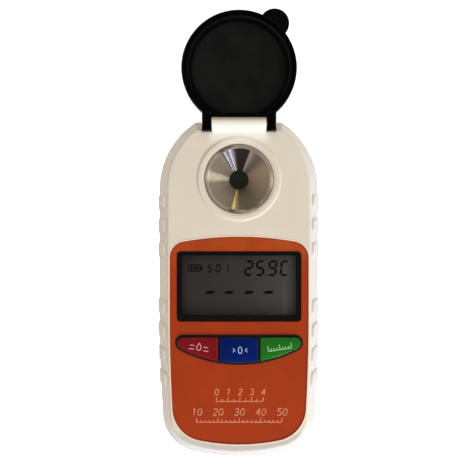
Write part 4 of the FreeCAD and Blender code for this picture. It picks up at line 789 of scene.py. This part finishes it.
def keys():
    """Three crowned key caps with generic marks: a drop, a zero and a scale."""
    field = key_field()
    left = clipped(field, -KEY_WEB, False)
    right = clipped(field, KEY_WEB, True)
    inner = KEY_WEB - 0.75
    middle = clipped(clipped(field, -inner, True), inner, False)
    red = gloss_key("red_key", tone(134, 6, 20), tone(116, 22, 28))
    blue = gloss_key("blue_key", tone(1, 30, 104), tone(0, 22, 72))
    green = gloss_key("green_key", tone(34, 118, 30), tone(24, 84, 22))
    caps = {
        "read": key_cap("read_cap", left, (-SIDE_KEY_X, SIDE_KEY_Y), red, "read_button"),
        "zero": key_cap("zero_cap", middle, (0, -20.4), blue, "zero_button"),
        "scale": key_cap("scale_cap", right, (SIDE_KEY_X, SIDE_KEY_Y), green, "scale_button"),
    }
    for name, cap in caps.items():
        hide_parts(name + "_key")

    drop = [[(0, 1.35), (-0.42, 0.62), (-0.74, -0.02), (-0.7, -0.58), (-0.32, -0.96), (0, -1.04),
             (0.32, -0.96), (0.7, -0.58), (0.74, -0.02), (0.42, 0.62), (0, 1.35)]]
    level = [[(-3.3, -0.95), (-1.5, -0.95)], [(1.5, -0.95), (3.3, -0.95)],
             [(-3.0, 0.25), (-1.5, 0.25)], [(1.5, 0.25), (3.0, 0.25)]]
    zero = [[(-2.5, 0.65), (-1.75, 0), (-2.5, -0.65)], [(2.5, 0.65), (1.75, 0), (2.5, -0.65)]]
    zero += number("0", 0, 0, 2.3)
    scale = [[(-4.0, -0.9), (4.0, -0.9)]]
    scale += [[(-4.0 + i, -0.9), (-4.0 + i, 0.9 if i % 4 == 0 else -0.05)] for i in range(9)]
    marks = {
        "read": (moved(drop + level, -13.85, -19.35, 1.05, -9), tone(226, 150, 150)),
        "zero": (moved(zero, 0.35, -20.45), tone(170, 186, 226)),
        "scale": (moved(scale, 14.0, -19.35, 1.0, 8), tone(160, 206, 150)),
    }
    for name, (paths, colour) in marks.items():
        ink = thin_ink(name + "_print", colour, scaled(colour, 0.7), 0.4, 0.55, 0.45)
        strokes(name + "_mark", paths, 0.34, 0.05, surface_of(caps[name]), ink, name + "_button")


def seven_segments(lit, width, height, stroke, slant):
    """The lit bars of one display digit, as closed outlines."""
    half, gap = stroke / 2, stroke * 0.16
    mid = height / 2
    flat = {"a": height - half, "g": mid, "d": half}
    tall = {"f": (half, mid, height - half), "b": (width - half, mid, height - half),
            "e": (half, half, mid), "c": (width - half, half, mid)}
    bars = []
    for letter in lit:
        if letter in flat:
            level = flat[letter]
            low, high = half + gap, width - half - gap
            bars.append([(low, level), (low + half, level + half), (high - half, level + half),
                         (high, level), (high - half, level - half), (low + half, level - half)])
        else:
            at, low, high = tall[letter]
            low, high = low + gap, high - gap
            bars.append([(at, low), (at + half, low + half), (at + half, high - half), (at, high),
                         (at - half, high - half), (at - half, low + half)])
    return [[(px + slant * py, py) for px, py in bar] for bar in bars]


SEGMENTS = {"0": "abcdef", "1": "bc", "2": "abged", "5": "afgcd", "9": "abcdfg", "C": "afed"}


def display():
    """Battery sign, two readings and four waiting dashes, as thin dark plates on the cell."""
    shape = bmesh.new()

    def dark(outline, x, y):
        plate(shape, [(x + px, y + py) for px, py in outline], GLASS_TOP, GLASS_TOP + 0.04)

    small_x, small_y = -11.29, 6.11
    for i, digit in enumerate("501"):
        for outline in seven_segments(SEGMENTS[digit], 1.9, 3.0, 0.5, 0.13):
            dark(outline, small_x + i * 2.85, small_y)
    large_x, large_y = 1.618, 4.918
    for digit, at in (("2", 0.0), ("5", 3.95), ("9", 8.3), ("C", 12.5)):
        for outline in seven_segments(SEGMENTS[digit], 3.1, 5.5, 0.76, 0.11):
            dark(outline, large_x + at, large_y)
    dark([(7.55, 0), (8.15, 0), (8.2, 0.55), (7.6, 0.55)], large_x, large_y)
    dark([(0, -0.35), (0.35, 0), (0, 0.35), (-0.35, 0)], large_x + 11.9, large_y + 5.35)
    dash = [(0, 0.35), (0.55, 0), (2.75, 0.12), (3.6, 0.75), (3.1, 1.15), (0.85, 1.05)]
    dash_y = -1.396
    for dash_x in (-11.851, -5.292, 1.688, 8.633):
        dark(dash, dash_x, dash_y)
    battery_x, battery_y = -17.884, 6.391
    battery_sign = [(0, 0, 4.4, 0.32), (0, 2.28, 4.4, 2.6), (0, 0.36, 0.32, 2.24),
                    (4.08, 0.36, 4.4, 2.24), (4.5, 0.7, 5.1, 1.9)]
    battery_sign += [(at, 0.65, at + 0.7, 1.95) for at in (0.75, 1.8, 2.85)]
    for left, low, right, high in battery_sign:
        dark([(left, low), (right, low), (right, high), (left, high)], battery_x, battery_y)
    finish("display_segments", shape, display_ink(), "case", smooth=False)


def plate(shape, outline, low, high):
    """Add a flat plate with a straight edge to a shape."""
    rings = [[shape.verts.new((x, y, z)) for x, y in outline] for z in (low, high)]
    shape.faces.new(rings[0])
    shape.faces.new(rings[1])
    skin(shape, rings, rows_closed=False)


def merge(shape, part):
    """Add a finished part to a shape."""
    mesh = bpy.data.meshes.new("part")
    part.to_mesh(mesh)
    shape.from_mesh(mesh)
    bpy.data.meshes.remove(mesh)
    part.free()


def prism(outline, low, high, roll, axis="z"):
    """A straight block from an outline, with its sharp edges rolled."""
    part = bmesh.new()
    plate(part, outline, low, high)
    if axis == "x":
        for corner in part.verts:
            corner.co = (corner.co.z, corner.co.x, corner.co.y)
    bmesh.ops.recalc_face_normals(part, faces=part.faces)
    sharp = [edge for edge in part.edges if edge.calc_face_angle(0.0) > math.radians(40)]
    bmesh.ops.bevel(part, geom=sharp, offset=roll, segments=3, affect="EDGES", profile=0.5,
                    clamp_overlap=True)
    return part


def lid_shell():
    """The lid: plate, rim and sealing wall follow a circle cut flat beside the hinge."""
    low, top, wall_top, groove = 19.0, 22.8, 22.6, 21.58
    profile = [(0.05, low), (19.1, low), (19.45, low + 0.08), (19.7, low + 0.25), (19.84, 19.5),
               (LID_RADIUS, 19.8), (LID_RADIUS, 22.62), (19.84, 22.74), (19.72, top), (19.36, top),
               (19.25, 22.75), (RIM_INNER, 22.64), (RIM_INNER, 21.75), (19.12, 21.62),
               (18.95, groove), (18.15, groove), (17.97, 21.63), (WALL_OUTER, 21.76),
               (WALL_OUTER, 22.42), (17.84, 22.54), (17.72, wall_top), (16.42, wall_top),
               (16.28, 22.55), (WALL_INNER, 22.42), (WALL_INNER, 20.6), (16.1, 20.38),
               (15.9, LID_FLOOR), (0.05, LID_FLOOR)]
    rim_y, wall_y = LID_CUT_Y + 0.7, LID_CUT_Y + 1.5

    def chord(radius):
        """How near to the hinge a circle of the lid comes before it is cut flat."""
        if radius > RIM_INNER:
            return LID_CUT_Y + LID_RADIUS - radius
        if radius > WALL_OUTER:
            return rim_y
        if radius > WALL_INNER:
            return rim_y + (WALL_OUTER - radius) * (wall_y - rim_y) / (WALL_OUTER - WALL_INNER)
        return wall_y + WALL_INNER - radius

    shape = bmesh.new()
    rings = []
    steps = 288
    for step in range(steps):
        turn = 2 * math.pi * (step + 0.5) / steps
        cos, sin = math.cos(turn), math.sin(turn)
        ring = []
        for radius, z in profile:
            reach = min(radius, (LID_Y - chord(radius)) / -sin) if sin < 0 and radius > 1 else radius
            ring.append(shape.verts.new((reach * cos, LID_Y + reach * sin, z)))
        rings.append(ring)
    skin(shape, rings, ring_closed=False)
    shape.faces.new([ring[0] for ring in rings])
    shape.faces.new([ring[-1] for ring in rings])
    bmesh.ops.remove_doubles(shape, verts=shape.verts, dist=0.0005)

    knuckle_end, knuckle_width = 61.9, 3.3
    knuckle = [tuple(p) for p in arc_points((HINGE_Y, HINGE_Z), KNUCKLE_RADIUS, 160, 270, 14)]
    knuckle += [(knuckle_end, HINGE_Z - KNUCKLE_RADIUS), (knuckle_end, top), (HINGE_Y, top)]
    for x in (9.5, -12.8):
        merge(shape, prism(knuckle, x, x + knuckle_width, 0.25, "x"))
    tab = []
    for point in arc_points((TAB_X, TAB_Y), TAB_RADIUS, 0, 360, 96)[:-1]:
        reach = point - Vector((0, LID_Y))
        tab.append(tuple(point + reach.normalized() * max(0.0, LID_RADIUS - 0.4 - reach.length)))
    merge(shape, prism(tab, 20.6, 22.2, 0.45))
    piece = finish("lid_shell", shape, moulded_lid(), "lid", angle=28.0)
    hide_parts("lid")


def flat_loops(node, level):
    """Closed outlines, in millimetres, around a solid's flat faces at a level, longest first."""
    shape = bmesh.new()
    shape.from_mesh(node.data)
    bmesh.ops.remove_doubles(shape, verts=shape.verts, dist=1e-6)
    flat = {face for face in shape.faces
            if all(abs(vertex.co.z / MM - level) < 0.01 for vertex in face.verts)}
    after = {}
    for face in flat:
        for loop in face.loops:
            if all(other is face or other not in flat for other in loop.edge.link_faces):
                after[loop.vert.index] = loop.link_loop_next.vert.index
    shape.verts.ensure_lookup_table()
    loops = []
    while after:
        start, here = next(iter(after.items()))
        loop = [start]
        del after[start]
        while here != start and here in after:
            loop.append(here)
            here = after.pop(here)
        loops.append([Vector(shape.verts[i].co[:2]) / MM for i in loop])
    shape.free()
    loops.sort(key=lambda points: -sum((a - b).length for a, b in zip(points, points[1:])))
    return loops


def swept(name, loop, profile, material, body):
    """A closed strip along an outline: profile gives outward offsets and heights."""
    area = sum(a.x * b.y - b.x * a.y for a, b in zip(loop, loop[1:] + loop[:1]))
    if area < 0:
        loop = list(reversed(loop))
    shape = bmesh.new()
    rings = []
    for i, here in enumerate(loop):
        before, after = loop[i - 1], loop[(i + 1) % len(loop)]
        along = ((here - before).normalized() + (after - here).normalized()).normalized()
        out = Vector((along.y, -along.x))
        rings.append([shape.verts.new((*(here + out * offset), z)) for offset, z in profile])
    skin(shape, rings)
    return finish(name, shape, material, body)


def grip_pads(nodes):
    """Skins over the grip pads of both shells, each with a ledge at its far end."""
    bpy.context.view_layer.update()
    graph = bpy.context.evaluated_depsgraph_get()
    pad_plastic = grip_plastic()
    spans = (("front_shell", SEAM + 0.2, FRONT_GRIP_END), ("back_shell", SEAM - 0.2, BACK_GRIP_END))
    for node, seam, far in spans:
        tree = BVHTree.FromObject(nodes[node], graph)
        shape = bmesh.new()
        for side in (1, -1):
            for middle in GRIPS:
                add_pad(shape, tree, side, middle, seam, far)
        finish(node + "_grips", shape, pad_plastic, "case", angle=60.0, closed=False)


def add_pad(shape, tree, side, middle, seam, far):
    """One pad: a grid that stands out from the bare wall, most at the ledge at its far end."""
    half = GRIP_WIDTH / 2 - 0.05
    beside = GRIP_WIDTH / 2 + 0.6
    corner, roll, step_up = 1.1, 0.14, 0.1
    columns = 20
    length = abs(far - seam)
    way = 1 if far > seam else -1

    def wall(y, z):
        spot = tree.ray_cast(Vector((side * 0.05, y * MM, z * MM)), Vector((-side, 0, 0)))[0]
        return spot.x / MM

    def outer(level):
        return 0.41 + 0.46 * (level / length) ** 2

    rows = [(level, outer(level)) for level in
            [(length - corner) * i / 10 for i in range(11)]
            + [length - corner * share for share in (0.85, 0.7, 0.55, 0.42, 0.3, 0.2)]]
    crest = outer(length) - roll
    for i in range(5):
        turn = math.pi / 2 * i / 4
        rows.append((length - roll + roll * math.sin(turn), crest + roll * math.cos(turn)))
    for i in range(1, 6):
        rows.append((length + step_up * i / 5, crest - (crest + 0.05) * i / 5))
    grid = []
    for level, height in rows:
        left = max(0.0, length - level)
        reach = half if left > corner else half - corner + math.sqrt(corner ** 2 - (corner - left) ** 2)
        z = seam + way * level
        low, high = wall(middle - beside, z), wall(middle + beside, z)
        line = []
        for k in range(columns + 1):
            across = math.sin(math.pi * (k / columns - 0.5))
            y = middle + reach * across
            bare = low + (high - low) * (y - middle + beside) / (2 * beside)
            rise = height * (1 - abs(across) ** 14) - 0.04
            line.append(shape.verts.new((bare + side * rise, y, z)))
        grid.append(line)
    flip = (way > 0) == (side > 0)
    for first, second in zip(grid, grid[1:]):
        for k in range(columns):
            corners = (first[k], first[k + 1], second[k + 1], second[k])
            shape.faces.new(corners if flip else tuple(reversed(corners)))
    ends = grid[0] if flip else list(reversed(grid[0]))
    shape.faces.new(ends)


def case_trim(nodes):
    """The lip with its painted highlight, the painted shadow line at the film's edge around the label,
    and the case's parting line.
    """
    label = flat_loops(nodes["front_label"], FILM)[0]
    lip = [(0.1, FILM - 0.02), (0.1, FACE + 0.03), (0.13, FACE + 0.1), (0.2, FACE + 0.14),
           (0.42, FACE + 0.14), (0.52, FACE + 0.09), (0.58, FACE - 0.05)]
    swept("label_lip", label, lip, cream_lip(), "case")
    # Painted shadow: a dark orange strip along the film's edge where the lip would shade it.
    edge = [(-0.24, FILM - 0.02), (-0.24, FILM + 0.01), (0.12, FILM + 0.01), (0.12, FILM - 0.1),
            (0.02, FILM - 0.1), (0.02, FILM - 0.02)]
    swept("film_edge", label, edge, film_edge(), "case")
    seam = flat_loops(nodes["back_shell"], SEAM)[0]
    line = [(-0.06, SEAM - 0.07), (0.015, SEAM - 0.07), (0.015, SEAM + 0.05), (-0.06, SEAM + 0.05)]
    swept("parting_line", seam, line, cream_shadow(), "case")


def door_arrow(cream):
    """A raised arrow on the battery door that shows which way it slides."""
    shape = bmesh.new()
    plate(shape, [(-2.6, -20.0), (0, -23.6), (2.6, -20.0), (1.0, -20.0), (1.0, -14.5),
                  (-1.0, -14.5), (-1.0, -20.0)], 0.06, 0.35)
    finish("door_arrow", shape, cream, "door", smooth=False)


def label_scale():
    """Two rows of generic graduations printed on the lower part of the film."""
    ink = thin_ink("film_print", tone(222, 146, 112), tone(196, 104, 70), 0.5, 0.6, 0.5)

    def row(middle, y, half, count, every, numbers, size, slant=0.18):
        step = 2 * half / count
        paths = [[(middle - half, y), (middle + half, y)]]
        for i in range(count + 1):
            x = middle - half + i * step
            tall = 1.5 if i % every == 0 else 0.8
            paths.append([(x, y), (x + slant * tall, y + tall)])
        for i, text in enumerate(numbers):
            x = middle - half + i * every * step
            paths += number(text, x + 0.3, y + 1.5 + size * 0.85, size, slant)
        return paths

    upper = row(0.1, -38.4, 8.1, 8, 2, ("0", "1", "2", "3", "4"), 2.1)
    lower = row(-0.1, -45.6, 14.8, 20, 5, ("10", "20", "30", "40", "50"), 2.4)
    strokes("label_scale", upper + lower, 0.36, 0.03, lambda x, y: FILM - 0.01, ink, "case")


def paint_solids(nodes, cream):
    """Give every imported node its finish. Nodes that aren't listed are pale plastic."""
    chip = clouded("chip_resin", tone(38, 38, 40), tone(30, 30, 32), tone(48, 48, 50), 0.5, 0.6,
                   grain=(0.2, 2.0, 0.01))
    pale = clouded("pale_plastic", tone(232, 230, 222), tone(224, 221, 212), tone(240, 238, 230),
                   2.0, 0.4, grain=(0.3, 2.0, 0.005))
    amber = clouded("amber_resin", tone(250, 205, 110), tone(245, 190, 90), tone(255, 220, 140),
                    1.0, 0.08, ior=1.5, transmission_weight=0.7)
    finishes = (
        (cream, "front_shell back_shell battery_door"),
        (orange_film(), "front_label"),
        (clear_window(), "window_lens"),
        (display_glass(), "lcd_glass"),
        (display_film(), "lcd_reflector"),
        (moulded_black("display_frame", 22, 0.55), "lcd_frame"),
        (moulded_black("key_rubber", 18, 0.6), "key_frame"),
        (moulded_black(), "lid optics_chamber chamber_cover"),
        (rubber("seal_rubber", 34), "case_seal dish_gasket"),
        (rubber("contact_rubber", 90), "upper_contact_strip lower_contact_strip"),
        (plated_steel(), "case_screws board_screws chamber_screws hinge_pin clock_crystal"),
        (plated_steel("contact_plate", 200, 0.2), "battery_spring battery_plate"),
        (plated_steel("capacitor_can", 205, 0.32), "capacitors"),
        (dark_prism_glass(), "prism"),
        (optical_glass(), "light_lens"),
        (amber, "led_lamp"),
        (green_board(), "main_board led_board sensor_board"),
        (chip, "controller_chip image_sensor temperature_sensor"),
        (ribbon_film(), "sensor_ribbon led_ribbon"),
        (cell_jacket(), "battery"),
        (open_foam(), "door_foam"),
    )
    by_node = {name: material for material, names in finishes for name in names.split()}
    for name, node in nodes.items():
        node.data.materials.clear()
        node.data.materials.append(by_node.get(name, pale))


# Studio

def studio():
    """A pale floor, a soft grey surround that darkens overhead, and soft boxes."""
    world = bpy.data.worlds.new("studio")
    bpy.context.scene.world = world
    world.use_nodes = True
    sky = Tree(world.node_tree)
    split = sky.outputs("ShaderNodeSeparateXYZ", sky.node("ShaderNodeTexCoord"))
    across = sky.node("ShaderNodeMapRange", None, split["X"], -1.0)
    ends = [(0.0, (0.57, 0.53, 0.49)), (1.0, (0.89, 0.90, 0.92))]
    sides = sky.node("ShaderNodeValToRGB", {"stops": ends}, across)
    overhead = sky.node("ShaderNodeMapRange", None, split["Z"], 0.86, 0.96)
    colour = sky.mix(overhead, sides, (0.06, 0.06, 0.06))
    sky.fill(sky.tree.nodes["Background"].inputs["Color"], colour)

    bpy.ops.mesh.primitive_plane_add(size=4.0, location=(0, 0, -0.0002))
    floor = bpy.context.object
    floor.name = "floor"
    paint = Paint("floor", (0.82, 0.82, 0.82), 0.9, specular_ior_level=0.0)
    rays = paint.outputs("ShaderNodeLightPath")
    seen = rays["Is Camera Ray"].math("MAXIMUM", rays["Is Glossy Ray"])
    seen = seen.math("MAXIMUM", rays["Is Transmission Ray"])
    paint.set("Emission Color", paint.mix(seen, (0, 0, 0), (0.75, 0.75, 0.75)))
    paint.set("Emission Strength", 1.0)
    floor.data.materials.append(paint.material)

    daylight = (0.88, 0.93, 1.0)
    for name, azimuth, width, height, share, colour in (
            ("window_left", -72.0, 0.10, 0.34, 0.35, daylight),
            ("window_right", -59.5, 0.10, 0.34, 0.30, daylight),
            ("side_card", 2.0, 0.28, 0.2, 0.08, (1.0, 0.98, 0.94)),
            ("warm_card", 79.5, 0.06, 0.3, 0.02, (1.0, 0.72, 0.3)),
            ("far_card", -117.0, 0.05, 0.2, 0.004, (1, 1, 1))):
        soft_box(name, azimuth, width, height, share, colour)


def soft_box(name, azimuth, width, height, share, colour):
    """An area lamp that gives share of a face's full light when it faces the lamp."""
    distance, elevation, azimuth = 0.9, math.radians(30.0), math.radians(azimuth)
    light = bpy.data.lights.new(name, "AREA")
    light.shape = "RECTANGLE"
    light.size, light.size_y = width, height
    light.energy = share * math.pi * math.pi * distance ** 2
    light.color = colour
    box = bpy.data.objects.new(name, light)
    aim = Vector((math.cos(azimuth) * math.cos(elevation), math.sin(azimuth) * math.cos(elevation),
                  math.sin(elevation)))
    box.location = Vector((0, 0.02, 0.015)) + aim * distance
    box.rotation_euler = aim.to_track_quat("Z", "Y").to_euler()
    bpy.context.scene.collection.objects.link(box)


def camera():
    """The photo's own view, straight down."""
    lens = bpy.data.cameras.new("camera")
    lens.lens = lens.sensor_width * FOCAL_PIXELS / FRAME_PIXELS
    lens.clip_start = 0.01
    eye = bpy.data.objects.new("camera", lens)
    eye.location = (CAMERA_X * MM, CAMERA_Y * MM, CAMERA_HEIGHT * MM)
    bpy.context.scene.collection.objects.link(eye)
    bpy.context.scene.camera = eye


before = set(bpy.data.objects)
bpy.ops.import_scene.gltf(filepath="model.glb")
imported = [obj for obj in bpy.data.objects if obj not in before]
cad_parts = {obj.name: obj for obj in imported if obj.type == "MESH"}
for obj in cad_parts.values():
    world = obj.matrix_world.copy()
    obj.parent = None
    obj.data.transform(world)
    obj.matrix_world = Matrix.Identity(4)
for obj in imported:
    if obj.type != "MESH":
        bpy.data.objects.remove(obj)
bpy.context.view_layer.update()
camera()
studio()
case_cream = cream_moulding()
paint_solids(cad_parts, case_cream)
sample_dish()
bore_ring(case_cream)
lid_shell()
keys()
display()
case_trim(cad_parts)
grip_pads(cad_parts)
door_arrow(case_cream)
label_scale()
bpy.context.scene.view_settings.view_transform = "Standard"
